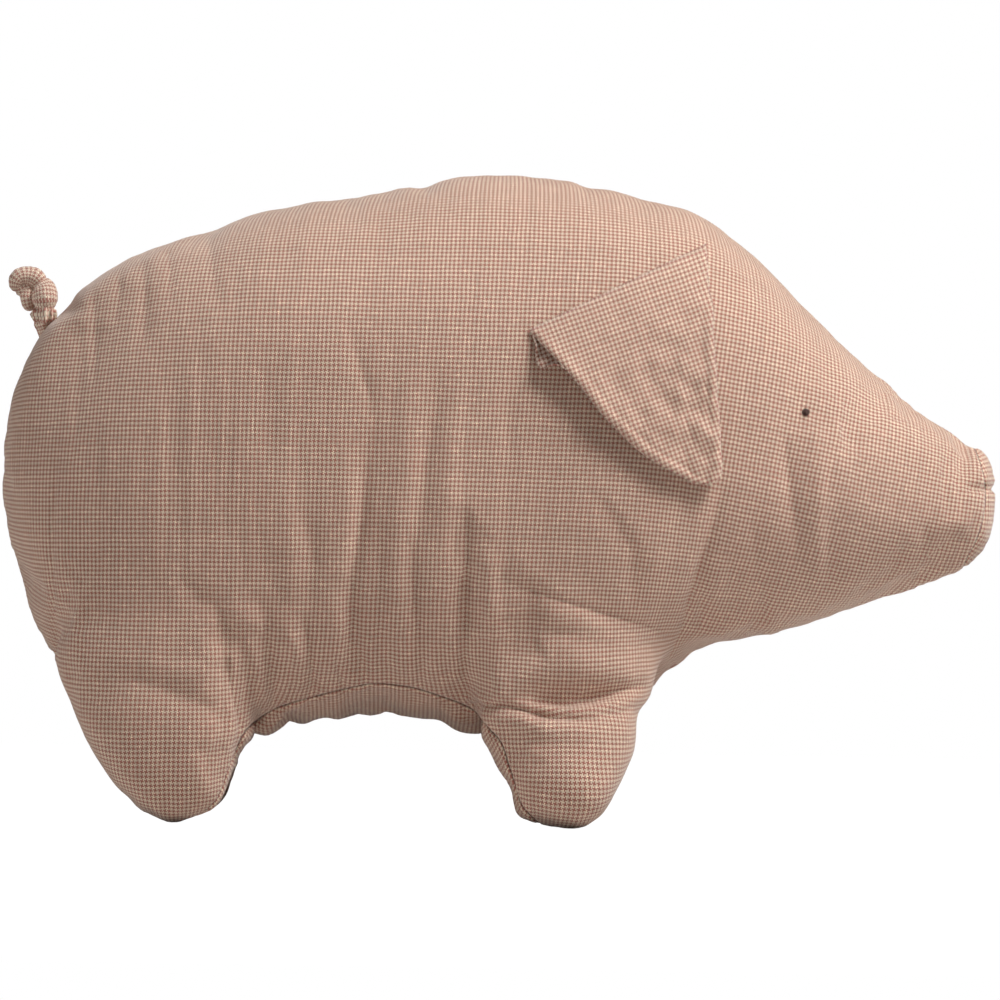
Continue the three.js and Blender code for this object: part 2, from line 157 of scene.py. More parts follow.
# %% Helpers for meshes: read and write points
def read(items, name, width, kind=float):
    values = np.empty(len(items) * width, kind)
    items.foreach_get(name, values)
    return values.reshape(-1, width)


def points_of(piece):
    return read(piece.data.vertices, "co", 3)


def normals_of(piece):
    return read(piece.data.vertices, "normal", 3)


def edges_of(piece):
    return read(piece.data.edges, "vertices", 2, int)


def set_points(piece, co):
    piece.data.vertices.foreach_set("co", co.ravel())
    piece.data.update()


# %% Helpers for objects: select, add, edit, join, apply, copy
def only(*pieces):
    """Selects these pieces and nothing else."""
    bpy.ops.object.select_all(action="DESELECT")
    for piece in pieces:
        piece.select_set(True)
    bpy.context.view_layer.objects.active = pieces[0]


def added(name, primitive, **settings):
    """Adds a primitive from Blender's own menu, selected alone."""
    bpy.ops.object.select_all(action="DESELECT")
    primitive(**settings)
    bpy.context.object.name = name
    return bpy.context.object


def joined(name, pieces):
    only(*pieces)
    bpy.ops.object.join()
    bpy.context.object.name = name
    return bpy.context.object


@contextmanager
def edit_mode(piece, kind="FACE", select="SELECT"):
    """Edit mode on one piece, with all of it selected unless select says otherwise."""
    only(piece)
    bpy.ops.object.mode_set(mode="EDIT")
    bpy.ops.mesh.select_mode(type=kind)
    if select:
        bpy.ops.mesh.select_all(action=select)
    yield
    bpy.ops.object.mode_set(mode="OBJECT")


def select_where(piece, kind, chosen):
    """Selects the points or faces that a mask names, and nothing else."""
    with edit_mode(piece, kind, "DESELECT"):
        pass
    items = piece.data.polygons if kind == "FACE" else piece.data.vertices
    items.foreach_set("select", chosen)


def halve_faces(piece, chosen):
    """Subdivides the faces whose points are all chosen."""
    select_where(piece, "VERT", chosen)
    with edit_mode(piece, select=None):
        bpy.ops.mesh.subdivide(number_cuts=1)


def make_smooth(piece):
    only(piece)
    bpy.ops.object.shade_smooth()


def paint(piece, material):
    piece.data.materials.clear()
    piece.data.materials.append(material)


def apply_new(piece, kind, **settings):
    """Adds a modifier and applies it at once."""
    only(piece)
    modifier = piece.modifiers.new(kind.title(), kind)
    for name, value in settings.items():
        setattr(modifier, name, value)
    bpy.ops.object.modifier_apply(modifier=modifier.name)


def remesh(piece, voxel):
    """Melts a piece into one closed skin of small even faces."""
    apply_new(piece, "REMESH", mode="VOXEL", voxel_size=voxel)


def copy_of(piece, name):
    twin = piece.copy()
    twin.data = piece.data.copy()
    twin.name = name
    bpy.context.scene.collection.objects.link(twin)
    return twin


# %% Helpers for values on a mesh: smooth, fade, measure
def neighbour_mean(values, ends):
    count = np.maximum(np.bincount(ends.ravel(), minlength=len(values)), 1)[:, None]
    total = np.stack([
        np.bincount(ends[:, 0], values[ends[:, 1], k], len(values))
        + np.bincount(ends[:, 1], values[ends[:, 0], k], len(values))
        for k in range(values.shape[1])], 1)
    return total / count


def smoothed(values, ends, times, weight=1.0):
    """Values drawn towards the mean of their neighbours, as often as times says."""
    weight = np.broadcast_to(np.asarray(weight, float), len(values))[:, None]
    for _ in range(times):
        values = values + 0.5 * weight * (neighbour_mean(values, ends) - values)
    return values


def step(value, low, high):
    """A soft step from 0 at low to 1 at high."""
    t = np.clip((value - low) / (high - low), 0, 1)
    return t * t * (3 - 2 * t)


def between(value, rise, fall):
    """1 between two soft limits: it rises over the first pair and falls over the second."""
    return step(value, *rise) * step(-value, -fall[1], -fall[0])


def bump(value, middle, reach):
    """1 at the middle, fading to nothing like a bell."""
    return np.exp(-((value - middle) / reach) ** 2)


def on_the_floor(points):
    """Nothing reaches below the floor."""
    points[:, 2] = np.maximum(points[:, 2], 0)
    return points


def dot(a, b):
    """The dot product of each row of a with the same row of b."""
    return np.einsum("ij,ij->i", a, b)


def unit(vectors):
    return vectors / np.maximum(np.linalg.norm(vectors, axis=1), 1e-9)[:, None]


def tree_of(points):
    """A search tree that finds the nearest of these points."""
    tree = KDTree(len(points))
    for i, point in enumerate(points):
        tree.insert(point, i)
    tree.balance()
    return tree


# %% Lines through points
def smooth_path(knots, count):
    """Points of a smooth line through the knots, evenly spaced by number."""
    return smooth_between(knots, np.linspace(0, len(knots) - 1, count))


def run_along(line):
    """How far along a line of points each of them is."""
    return np.concatenate([[0], np.cumsum(np.linalg.norm(np.diff(line, axis=0), axis=1))])


def even_path(knots, share):
    """Points of the smooth line through picture points, at shares of its length."""
    line = smooth_path(np.array([place(*knot) for knot in knots]), 400)
    run = run_along(line)
    return np.stack([np.interp(share * run[-1], run, line[:, k]) for k in range(2)], 1)


# %% Torso and head lie along X, legs stand along Z
def ball_of(name, around, rings):
    """A sphere, and each point's angle from its lower pole and its turn round the axis."""
    form = added(name, bpy.ops.mesh.primitive_uv_sphere_add,
                 segments=around, ring_count=rings, radius=1)
    x, y, z = points_of(form).T
    return form, np.arccos(np.clip(-z, -1, 1)), np.arctan2(y, x)


def lying_form(name, back, long, thick, high, low, wide):
    form, angle, turn = ball_of(name, 96, 80)
    top, bottom = (overall_height * share_at(shares, angle) for shares in (high, low))
    x = back + long * (1 - np.cos(angle)) / 2
    y = thick / 2 * share_at(wide, angle) * signed_power(np.cos(turn), 2 / fullness)
    z = (top + bottom) / 2 + (top - bottom) / 2 * signed_power(np.sin(turn), 2 / fullness)
    set_points(form, np.stack([x, y, z], 1))
    return form


def leg_form(name, side, x_foot, long, lean):
    form, angle, turn = ball_of(name, 64, 48)
    up = (1 - np.cos(angle)) / 2
    reach_x = long / 2 * share_at(leg_long_shares, angle)
    reach_y = leg_thick / 2 * share_at(leg_thick_shares, angle)
    x = x_foot - lean * up + reach_x * signed_power(np.cos(turn), 2 / fullness)
    y = side * (leg_spread / 2 - leg_inward * up) + reach_y * signed_power(
        np.sin(turn), 2 / fullness)
    set_points(form, np.stack([x, y, np.maximum(up * leg_tall - 0.5 * mm, 0)], 1))
    return form


side_ways = {"right": -1, "left": 1}
torso_values = torso_back, torso_long, torso_thick, torso_high, torso_low, torso_wide
head_values = head_back, head_long, head_thick, head_high, head_low, head_wide
forms = [lying_form("torso", *torso_values), lying_form("head", *head_values)]
for side_name, side in side_ways.items():
    for leg, x_foot, long, lean in legs:
        forms.append(leg_form(f"{leg}_{side_name}", side, x_foot, long, lean))
print("forms:", [form.name for form in forms])

# %% [markdown]
# The six forms are joined and remeshed with a fine voxel size, which melts them into one closed
# skin of even small faces: enough to hold creases a few millimetres wide. Where a leg or the
# head grows out of the torso the real cloth runs across without an edge, so the join is smoothed
# there.

# %% Small moves of the outline, as a hand evens out a stuffed toy
nudges = [  # picture point, how far it is felt, and the move, all in picture points
    (26, 590, 30, 3, -4), (64, 306, 16, 2, 3), (346, 196, 18, 0, 2), (426, 183, 11, 0, 4),
    (206, 234, 22, 0, 3), (586, 183, 14, 0, 2), (700, 222, 40, 1, -5), (766, 268, 22, 0, -3),
    (82, 725, 60, -4, 1), (126, 805, 16, 1, -5), (148, 824, 14, 0, -5), (206, 820, 16, 2, -4),
    (224, 798, 18, 2, 0), (188, 826, 12, 0, -3), (266, 722, 16, 0, 11), (250, 732, 14, 3, 4),
    (306, 718, 14, 0, 1), (332, 716, 12, 0, 2), (288, 722, 12, 0, -4), (402, 714, 40, 0, -4),
    (440, 720, 16, 0, -3), (466, 720, 15, 0, 10), (503, 790, 20, 1, -5), (524, 812, 14, -3, 3),
    (490, 755, 20, 0, -2), (648, 722, 20, -6, -9), (664, 682, 16, -3, -10), (690, 660, 22, 0, -7),
    (716, 652, 18, 0, -5), (486, 738, 12, -2, 3), (776, 634, 24, 0, 3), (900, 592, 30, 0, -2),
    (957, 571, 9, 0, 2), (972, 566, 5, 1, -4), (966, 446, 8, 0, 3), (326, 718, 9, 0, -3),
    (72, 708, 22, 1, -4), (966, 560, 5, 0, 3),
]


def nudged(points):
    moved = points.copy()
    for px, py, reach, dx, dy in nudges:
        x, z = place(px, py)
        felt = bump(np.hypot(points[:, 0] - x, points[:, 2] - z), 0, reach * picture_scale)
        moved[:, 0] += dx * picture_scale * felt
        moved[:, 2] -= dy * picture_scale * felt
    return moved


# %% Where the sides swell or draw in, the same on both sides
bulges = [  # picture point, reach along and up in picture points, and how far outwards in mm
    (590, 800, 70, 42, 12.0), (605, 695, 85, 25, -9.5), (66, 345, 50, 60, -2.0),
    (225, 660, 90, 60, 4.0), (150, 690, 70, 16, -1.5), (400, 610, 70, 60, -2.0),
    (775, 625, 120, 34, -11.0), (685, 652, 62, 36, -12.0), (925, 562, 50, 22, -6.0),
    (420, 330, 230, 60, 3.0), (810, 500, 110, 50, 4.0), (75, 310, 110, 80, -11.0),
    (30, 420, 110, 80, -6.0),
]


def bulged(points):
    moved = points.copy()
    for px, py, reach_x, reach_z, out in bulges:
        x, z = place(px, py)
        far = np.hypot((points[:, 0] - x) / reach_x, (points[:, 2] - z) / reach_z)
        felt = bump(far, 0, picture_scale) * step(np.abs(points[:, 1]), 0.02, 0.06)
        moved[:, 1] += np.sign(points[:, 1]) * out * mm * felt
    return moved


# %% One skin
skin_voxel = 2.35 * mm
body = joined("stuffed_form", forms)
remesh(body, skin_voxel)
skin, skin_edges = points_of(body), edges_of(body)
x, y, z = skin.T
hind_join = between(x, (-0.23, -0.20), (-0.12, -0.09)) * between(z, (0.05, 0.07), (0.115, 0.135))
front_join = between(x, (-0.03, -0.01), (0.08, 0.10)) * between(z, (0.075, 0.09), (0.115, 0.13))
neck_join = between(x, (0.075, 0.09), (0.12, 0.14)) * step(z, 0.09, 0.11)
crown_join = between(x, (0.03, 0.05), (0.10, 0.12)) * step(z, 0.29, 0.30)
on_side = step(np.abs(y), 0.035, 0.05)
skin = smoothed(skin, skin_edges, 90, np.clip(
    on_side * (hind_join + front_join + 0.6 * neck_join) + crown_join, 0, 1))
hind_flush = between(x, (-0.245, -0.215), (-0.105, -0.085)) * between(
    z, (0.045, 0.07), (0.15, 0.175))
front_flush = between(x, (-0.02, 0.0), (0.085, 0.10)) * between(z, (0.07, 0.085), (0.13, 0.15))
flush = on_side * np.clip(hind_flush + front_flush, 0, 1)
skin[:, 1:2] = smoothed(skin[:, 1:2], skin_edges, 260, flush)
skin = smoothed(skin, skin_edges, 4)

skin = on_the_floor(bulged(nudged(skin)))
set_points(body, skin)
print("skin points:", len(skin), "lowest", skin.min(0).round(4), "highest", skin.max(0).round(4))

# %% [markdown]
# ## Where the seams run
#
# One seam runs round the pig's middle, from the snout over the back to the rump and back under
# the chin. Between the legs it parts to let in the gusset, whose seam shows from the side as an
# arch over the belly and down the legs' facing edges.

# %% The seam lines
def distance_to_line(px, pz, line, reach=1.0):
    """How far points of the side view are from a line, and how far along it, from 0 to 1."""
    line = smooth_path(np.array(line, float), 4 * len(line))
    knots = np.stack(place(line[:, 0], line[:, 1]), 1)
    best, along = np.full(len(px), reach), np.zeros(len(px))
    low, high = knots.min(0) - reach, knots.max(0) + reach
    near = np.flatnonzero((px > low[0]) & (px < high[0]) & (pz > low[1]) & (pz < high[1]))
    px, pz = px[near], pz[near]
    starts = run_along(knots)
    runs = np.diff(starts)
    for (ax, az), (bx, bz), run, start in zip(knots, knots[1:], runs, starts):
        t = np.clip(((px - ax) * (bx - ax) + (pz - az) * (bz - az)) / run ** 2, 0, 1)
        far = np.hypot(px - ax - t * (bx - ax), pz - az - t * (bz - az))
        nearer = far < best[near]
        best[near] = np.where(nearer, far, best[near])
        along[near] = np.where(nearer, (start + t * run) / starts[-1], along[near])
    return best, along


gusset_long, gusset_wide, gusset_middle, gusset_fullness = 310 * mm, 108 * mm, -67.5 * mm, 4
gusset_half_waist = 24 * mm


def gusset_half_width(x):
    along = np.clip(np.abs((x - gusset_middle) / (gusset_long / 2)), 0, 1)
    wide = gusset_wide / 2 * (1 - along ** gusset_fullness)
    between_legs = between(x, (-0.142, -0.127), (-0.001, 0.014))
    return wide + (np.minimum(wide, gusset_half_waist) - wide) * between_legs


gusset_arch = [(192, 840), (206, 811), (217, 801), (224, 785), (229, 769), (237, 750), (249, 728),
               (276, 709), (315, 697), (347, 689), (375, 684), (407, 687), (430, 693), (471, 709),
               (489, 729), (501, 743), (509, 768), (514, 782), (521, 805), (540, 824), (560, 840)]


def far_from_seam(points):
    x, y, z = points.T
    arch = distance_to_line(x, z, gusset_arch, 0.1)[0] + np.maximum(
        gusset_half_waist - np.abs(y), 0)
    over_gusset = (x > -0.222) & (x < 0.0875) & (z < 0.12)
    return np.minimum(arch, np.where(over_gusset, 1.0, np.abs(y)))


# %% [markdown]
# ## Stuffing it
#
# A coarse copy of the skin is blown up as cloth: the seams are a little shorter than the cloth
# beside them, as stitches make them, so the cloth buckles into puckers along the seams when the
# pressure comes on. Only these small buckles are kept and carried to the fine skin; the overall
# outline stays as measured.

# %% Noise, and values carried from one set of points to another
def noise_at(points, scale, seed):
    stretched = points * np.asarray(scale) + seed
    return np.array([noise.noise(Vector(p)) for p in stretched])


def carried(targets, sources, values):
    """Values of the sources at the targets, weighed by nearness over four of them."""
    tree = tree_of(sources)
    found = [tree.find_n(point, 4) for point in targets]
    near = np.array([[hit[1] for hit in hits] for hits in found])
    far = np.array([[hit[2] for hit in hits] for hits in found])
    weight = 1 / (far + 0.3 * mm) ** 2
    weight /= weight.sum(1)[:, None]
    return np.einsum("ij,ijk->ik", weight, values[near])


# %% Cloth simulation of the coarse skin
def blow_up(trial, frames):
    """Lets Blender's cloth swell under pressure, with its seams drawn up."""
    cloth = trial.modifiers.new("Cloth", "CLOTH")
    settings = cloth.settings
    settings.quality = 6
    settings.mass = 0.2
    settings.tension_stiffness = settings.compression_stiffness = 12
    settings.shear_stiffness = 4
    settings.bending_stiffness = 0.15
    settings.use_pressure = True
    settings.uniform_pressure_force = 4
    settings.vertex_group_shrink = "drawn"
    settings.shrink_min, settings.shrink_max = -0.012, 0.07
    settings.effector_weights.gravity = 0
    cloth.collision_settings.use_collision = False
    cloth.point_cache.frame_end = frames
    for frame_now in range(1, frames + 1):
        bpy.context.scene.frame_set(frame_now)
    only(trial)
    bpy.ops.object.modifier_apply(modifier=cloth.name)
    bpy.context.scene.frame_set(1)


buckle_share, buckle_most = 0.8, 2.5 * mm


def stuffed_buckles(body):
    trial = copy_of(body, "trial")
    remesh(trial, 5 * mm)
    start, ends = points_of(trial), edges_of(trial)
    start = start + noise_at(start, 60, 2.0)[:, None] * normals_of(trial) * 0.3 * mm
    set_points(trial, start)
    drawn = trial.vertex_groups.new(name="drawn")
    for i, share in enumerate(bump(far_from_seam(start), 0, 7 * mm)):
        drawn.add([i], float(share), "REPLACE")
    blow_up(trial, 20)
    moved = points_of(trial) - start
    print("blown up by", (np.linalg.norm(moved, axis=1).mean() / mm).round(1), "mm")
    small = moved - smoothed(moved, ends, 25)
    size = np.linalg.norm(small, axis=1)[:, None]
    small *= buckle_share * np.minimum(1, buckle_most / np.maximum(size, 1e-9))
    small *= 1 - 0.75 * step(start[:, 2:], 0.2, 0.25)
    print("small buckles: mean", (size.mean() / mm).round(2), "largest", (size.max() / mm).round(1))
    bpy.data.objects.remove(trial)
    return start, small


trial_start, buckles = stuffed_buckles(body)
skin = on_the_floor(skin + carried(skin, trial_start, buckles))
set_points(body, skin)


# %% [markdown]
# ## Creases
#
# A crease in stuffed cloth is a soft valley, often with a roll beside it. Each one is a line
# drawn on the side of the pig, with a width and a depth: points near the line are pushed in
# along their normals, and points near a roll's line a little out. The deep ones sit above the
# front leg and behind the cheek, and the shallow ones hang down the flank between back and belly.

# %% Creases of the side, as lines through picture points
creases = {  # width and depth in mm, then the line; a negative depth is a roll that stands out
    "front leg": [
        (2.4, 4.6, [(462, 711), (478, 705), (500, 705), (528, 710), (552, 714), (580, 717),
                    (592, 717)]),
        (2.4, 4.2, [(514, 697), (530, 700), (548, 700), (570, 700), (592, 697), (612, 693),
                    (630, 689), (645, 686)]),
        (9.0, 4.0, [(520, 698), (575, 697), (612, 691), (640, 687)]),
        (3.0, -2.8, [(520, 700), (545, 706), (575, 709), (605, 705), (632, 698)]),
        (4.6, -1.8, [(478, 716), (520, 722), (560, 728), (600, 727)]),
        (1.6, 1.0, [(596, 716), (616, 713), (634, 707)]),
        (2.2, 1.6, [(470, 706), (482, 722), (496, 738)]),
    ],
    "shoulder": [
        (3.4, 3.4, [(722, 488), (712, 530), (696, 580), (683, 632), (668, 662)]),
        (2.0, 1.5, [(500, 578), (525, 588), (553, 598), (593, 611), (630, 621), (676, 637)]),
        (4.0, -1.0, [(535, 608), (587, 627), (625, 640)]),
    ],
    "hind leg": [
        (6.0, 2.6, [(96, 672), (143, 680), (180, 692), (207, 707), (230, 724)]),
        (9.0, -1.2, [(190, 668), (216, 684)]),
    ],
    "flank": [
        (4.2, 3.8, [(368, 440), (366, 480), (361, 530), (353, 580), (352, 615), (358, 650),
                    (371, 692)]),
        (3.0, 2.0, [(440, 376), (434, 417), (426, 463), (424, 503), (420, 540)]),
        (2.6, 3.0, [(411, 545), (414, 595), (420, 634), (423, 692)]),
        (2.8, 3.6, [(465, 500), (468, 538), (466, 575), (464, 640), (466, 695)]),
        (3.2, 2.0, [(319, 490), (317, 540), (314, 590), (317, 640)]),
        (3.4, 1.5, [(352, 325), (362, 367), (372, 405), (376, 445)]),
        (4.4, 1.4, [(265, 375), (271, 417), (267, 465)]),
        (4.0, 1.4, [(297, 410), (294, 463), (294, 503), (310, 537), (319, 570)]),
        (3.2, 3.6, [(265, 605), (269, 642), (275, 678), (284, 714)]),
        (2.4, 2.0, [(225, 648), (230, 674), (237, 702), (245, 730)]),
        (2.4, 3.0, [(306, 620), (312, 660), (317, 704)]),
        (2.2, 2.4, [(336, 655), (341, 676), (348, 698)]),
        (2.6, 1.1, [(240, 520), (246, 570), (250, 610)]),
        (2.6, 0.9, [(282, 560), (286, 600), (294, 640)]),
        (3.0, 1.0, [(150, 560), (165, 600), (175, 640)]),
        (3.6, 1.1, [(205, 330), (212, 400), (214, 470), (222, 530)]),
        (3.4, 0.9, [(160, 350), (168, 420), (170, 490)]),
        (3.0, 1.0, [(512, 370), (506, 430), (502, 480)]),
        (1.6, 0.5, [(343, 295), (350, 337), (357, 367), (368, 396)]),
        (2.2, 0.5, [(298, 310), (301, 380)]),
    ],
    "flank rolls": [
        (4.2, -1.3, [(464, 372), (452, 423), (448, 483), (446, 550), (446, 600), (446, 650)]),
        (4.4, -2.6, [(486, 550), (491, 605), (497, 650), (497, 688)]),
        (6.0, -2.2, [(408, 385), (404, 483), (398, 540), (396, 600), (404, 665)]),
        (4.2, -1.0, [(344, 450), (347, 510), (345, 575)]),
        (3.0, -2.4, [(252, 640), (258, 672), (266, 708)]),
        (2.8, -2.0, [(290, 625), (298, 660), (303, 696)]),
        (5.0, -1.8, [(340, 595), (341, 635), (337, 664)]),
    ],
    "head": [
        (4.4, 2.6, [(784, 422), (787, 473), (793, 513), (798, 556)]),
        (3.8, 1.6, [(827, 515), (829, 560), (832, 592)]),
        (4.4, 2.4, [(926, 520), (924, 548), (916, 572)]),
        (3.0, 1.4, [(704, 566), (702, 600), (700, 634)]),
        (8.0, 3.0, [(850, 604), (900, 588), (940, 570), (975, 556)]),
        (3.4, 1.6, [(730, 550), (732, 612)]),
        (3.6, 1.3, [(752, 520), (757, 566), (764, 612)]),
        (4.4, -1.6, [(817, 435), (818, 500), (817, 578)]),
    ],
    "snout": [
        (5.0, -1.4, [(962, 486), (962, 520), (956, 545)]),
    ],
    "rump": [
        (4.0, 0.9, [(80, 335), (80, 393), (73, 458)]),
        (3.0, 0.7, [(66, 312), (90, 305), (116, 286)]),
        (3.4, -0.5, [(52, 322), (80, 321), (118, 325)]),
        (2.6, 1.4, [(117, 258), (119, 285), (116, 320)]),
        (2.8, 1.5, [(142, 258), (145, 300), (144, 350)]),
        (3.0, 1.3, [(206, 234), (213, 270), (218, 310)]),
        (2.6, 1.3, [(92, 285), (95, 325), (94, 378)]),
        (2.6, 1.4, [(166, 240), (170, 268), (172, 305)]),
    ],
}


def crease_depth(points, side):
    """The sum of all creases at points of one side, in metres inwards."""
    depth = np.zeros(len(points))
    x, y, z = points.T
    for width, deep, line in sum(creases.values(), []):
        far, along = distance_to_line(x, z, line, 4 * width * mm)
        fade = np.sin(np.clip(0.08 + 0.84 * along, 0, 1) * math.pi) ** 0.8
        if deep < 0:
            shape = bump(far, 0, width * mm)
        else:
            bottom = 1 - 0.2 * np.exp(-(far / (0.35 * width * mm) + 0.9) ** 2)
            shape = np.exp(-far / (0.75 * width * mm)) * bottom
        depth += deep * mm * fade * shape
    return depth * step(side * y, 0.004, 0.03)


# %% [markdown]
# Along the seams the two layers are drawn up a little by the stitches, so short puckers stand
# square to the seam and fade over a finger's width. They are made by one-dimensional noise along
# the seam. The flank gets a faint waviness from noise stretched in height, and thin upright
# ridges where such a noise crosses its middle value.

# %% Smaller faces along the narrow creases, where the skin must turn within a few mm
narrow_crease, halving_reach = 2.5, 3.3 * mm
near = np.full(len(skin), np.inf)
for region, lines in creases.items():
    for width, deep, line in lines:
        if width < narrow_crease or region == "snout":
            far = distance_to_line(skin[:, 0], skin[:, 2], line, 0.01)[0]
            near = np.minimum(near, far)
halve_faces(body, (near < halving_reach) & (np.abs(skin[:, 1]) > 0.03))
skin = points_of(body)
body.data.update()
out_of_skin = normals_of(body)
print("skin points:", len(skin))

# %% Creases, waviness and upright ridges
x, y, z = skin.T
press = np.where(y < 0, crease_depth(skin, -1), crease_depth(skin, 1))
flank = step(np.abs(y), 0.02, 0.05) * step(-x, -0.04, 0.03)
waviness = noise_at(skin, (70, 9, 11), 3.7) * 0.42 + noise_at(skin, (120, 90, 60), 8.1) * 0.14
press += waviness * mm * (0.3 + 0.7 * flank)
upright = noise_at(skin, (60, 8, 5), 11.3)
there = flank * step(-z, -0.26, -0.2) * step(noise_at(skin, (22, 10, 14), 6.1), -0.25, 0.25)
press += mm * there * (1.5 * np.exp(-np.abs(upright) / 0.13) - 0.45)

# %% Puckers beside the seams
back_seam = np.exp(-np.abs(y) / 0.016) * step(z, 0.16, 0.2)
press += back_seam * mm * 0.9 * noise_at(skin * (1, 0, 1), (95, 1, 95), 5.2)
chin_seam = np.exp(-np.abs(y) / 0.020) * step(x, 0.075, 0.1) * step(-z, -0.15, -0.12)
press += chin_seam * mm * 0.9 * noise_at(skin * (1, 0, 0.3), (85, 1, 30), 1.4)
past_gusset = np.abs(np.abs(y) - gusset_half_width(x))
belly = between(x, (-0.15, -0.12), (-0.01, 0.01)) * step(-z, -0.12, -0.06)
press += belly * np.exp(-past_gusset / 0.02) * mm * 1.1 * noise_at(
    skin * (1, 0, 0), (100, 1, 1), 6.6)
belly_middle = belly * step(-np.abs(y), -0.054, -0.045)
press += belly_middle * mm * 1.3 * noise_at(skin * (1, 0.3, 0), (105, 30, 1), 2.9)

# %% The pinch across the snout, and the press of all of it
pinch_deep, pinch_reach, pinch_height = 2.7 * mm, 1.6 * mm, place(990, 488)[1]
press += pinch_deep * step(x, 0.232, 0.236) * bump(z, pinch_height, pinch_reach)
skin = on_the_floor(skin - out_of_skin * press[:, None])
set_points(body, skin)
print("pressed in by up to", round(press.max() / mm, 1), "mm, out by", round(-press.min() / mm, 1))

# %% [markdown]
# ## Cutting the skin along its seams
#
# A cutter with the gusset's outline, and one with a bowed face for the snout, divide the skin:
# what lies inside a cutter becomes that piece. The walls that the cutters leave behind have the
# cutter's own material, which is how they are found and deleted again.

# %% Cutters
skin_stuff = bpy.data.materials.new("skin_stuff")
cut_stuff = bpy.data.materials.new("cut_stuff")
paint(body, skin_stuff)


def shaped_prism(name, outline, lie):
    """A cylinder from the menu with its outline moved: lie turns outline and share into points."""
    prism = added(name, bpy.ops.mesh.primitive_cylinder_add, vertices=len(outline), radius=1,
                  depth=2, end_fill_type="NGON")
    co = points_of(prism)
    number = np.round(np.arctan2(co[:, 1], co[:, 0]) / (2 * math.pi) * len(outline)).astype(int)
    set_points(prism, lie(outline[number % len(outline)], co[:, 2]))
    with edit_mode(prism):
        bpy.ops.mesh.normals_make_consistent(inside=False)
    return prism


def gusset_cutter():
    """Narrow under the belly and between the legs; the arch adds what shows from the side."""
    turn = np.arange(96) / 96 * 2 * math.pi
    x = gusset_middle + gusset_long / 2 * np.cos(turn)
    y = np.sign(np.round(np.sin(turn), 6)) * gusset_half_width(x)
    top = overall_height * torso_high[0]
    cutter = shaped_prism("gusset_knife", np.stack([x, y], 1), lambda line, share: np.stack(
        [line[:, 0], line[:, 1], np.where(share > 0, top, -0.02)], 1))
    arch = even_path(gusset_arch, np.linspace(0, 1, 64))
    arch_cutter = shaped_prism("arch_knife", arch, lambda line, share: np.stack(
        [line[:, 0], share * 0.1, line[:, 1]], 1))
    apply_new(cutter, "BOOLEAN", operation="UNION", object=arch_cutter, solver="MANIFOLD")
    bpy.data.objects.remove(arch_cutter)
    return cutter


# %% The snout's cutter
snout_seam_edge, snout_seam_bow = 233.5 * mm, 10 * mm
snout_middle_z, snout_half_tall = 169 * mm, 32 * mm


def snout_cutter():
    """A block ahead of the disc seam, whose back face bows forward at the sides of the snout."""
    cutter = added("snout_knife", bpy.ops.mesh.primitive_grid_add,
                   x_subdivisions=24, y_subdivisions=48, size=1)
    co = points_of(cutter)
    y, z = co[:, 0] * 0.12, snout_middle_z + co[:, 1] * 0.2
    up = np.clip(np.abs(z - snout_middle_z) / snout_half_tall, 0, 1)
    x = snout_seam_edge + snout_seam_bow * (1 - up ** 2)
    set_points(cutter, np.stack([x, y, z], 1))
    with edit_mode(cutter):
        bpy.ops.mesh.extrude_region_move(TRANSFORM_OT_translate={"value": (0.1, 0, 0)})
        bpy.ops.mesh.select_all(action="SELECT")
        bpy.ops.mesh.normals_make_consistent(inside=False)
    return cutter


# %% How a cutter divides a piece
def cut_by(piece, cutter, operation):
    paint(cutter, cut_stuff)
    apply_new(piece, "BOOLEAN", operation=operation, object=cutter, solver="MANIFOLD",
              material_mode="TRANSFER")


def drop_cut_walls(piece):
    """Deletes the faces that the cutters left, so that only the skin itself stays."""
    names = [slot.material.name for slot in piece.material_slots]
    material = read(piece.data.polygons, "material_index", 1, int)[:, 0]
    select_where(piece, "FACE", material == names.index("cut_stuff"))
    with edit_mode(piece, select=None):
        bpy.ops.mesh.delete(type="FACE")
    piece.data.materials.clear()


# %% Cut into gusset, snout disc and two sides
gusset_knife, snout_knife = gusset_cutter(), snout_cutter()
belly_gusset = copy_of(body, "belly_gusset_cloth")
cut_by(belly_gusset, gusset_knife, "INTERSECT")
snout_disc = copy_of(body, "snout_disc_cloth")
cut_by(snout_disc, snout_knife, "INTERSECT")
sides = copy_of(body, "sides")
cut_by(sides, gusset_knife, "DIFFERENCE")
cut_by(sides, snout_knife, "DIFFERENCE")
for piece in (belly_gusset, snout_disc, sides):
    drop_cut_walls(piece)
side_pieces = {}
for side_name, side in side_ways.items():
    half = copy_of(sides, f"{side_name}_side_cloth")
    with edit_mode(half):
        bpy.ops.mesh.bisect(plane_co=(0, 0, 0), plane_no=(0, side, 0), clear_inner=True,
                            threshold=1e-6)
    side_pieces[side_name] = half
for spare in (sides, gusset_knife, snout_knife):
    bpy.data.objects.remove(spare)
cloth_pieces = [*side_pieces.values(), belly_gusset, snout_disc]
for piece in cloth_pieces:
    print(piece.name, len(piece.data.vertices), "points,", len(piece.data.polygons), "faces")

# %% [markdown]
# ## Seams, and the run of the check
#
# At a seam both cloths roll inward to the stitches, and the allowance behind them lifts the
# cloth beside it a little. Each piece therefore learns how far every point is from its own edge;
# the material reads the same distance to paint shade in the seam and a highlight beside it.

# %% Distance to the piece's own edge
def distance_to_edge(piece):
    with edit_mode(piece, "EDGE", "DESELECT"):
        bpy.ops.mesh.select_non_manifold()
    co, on_edge = points_of(piece), read(piece.data.vertices, "select", 1, bool)[:, 0]
    edge = tree_of(co[on_edge])
    return np.array([edge.find(point)[2] for point in co])


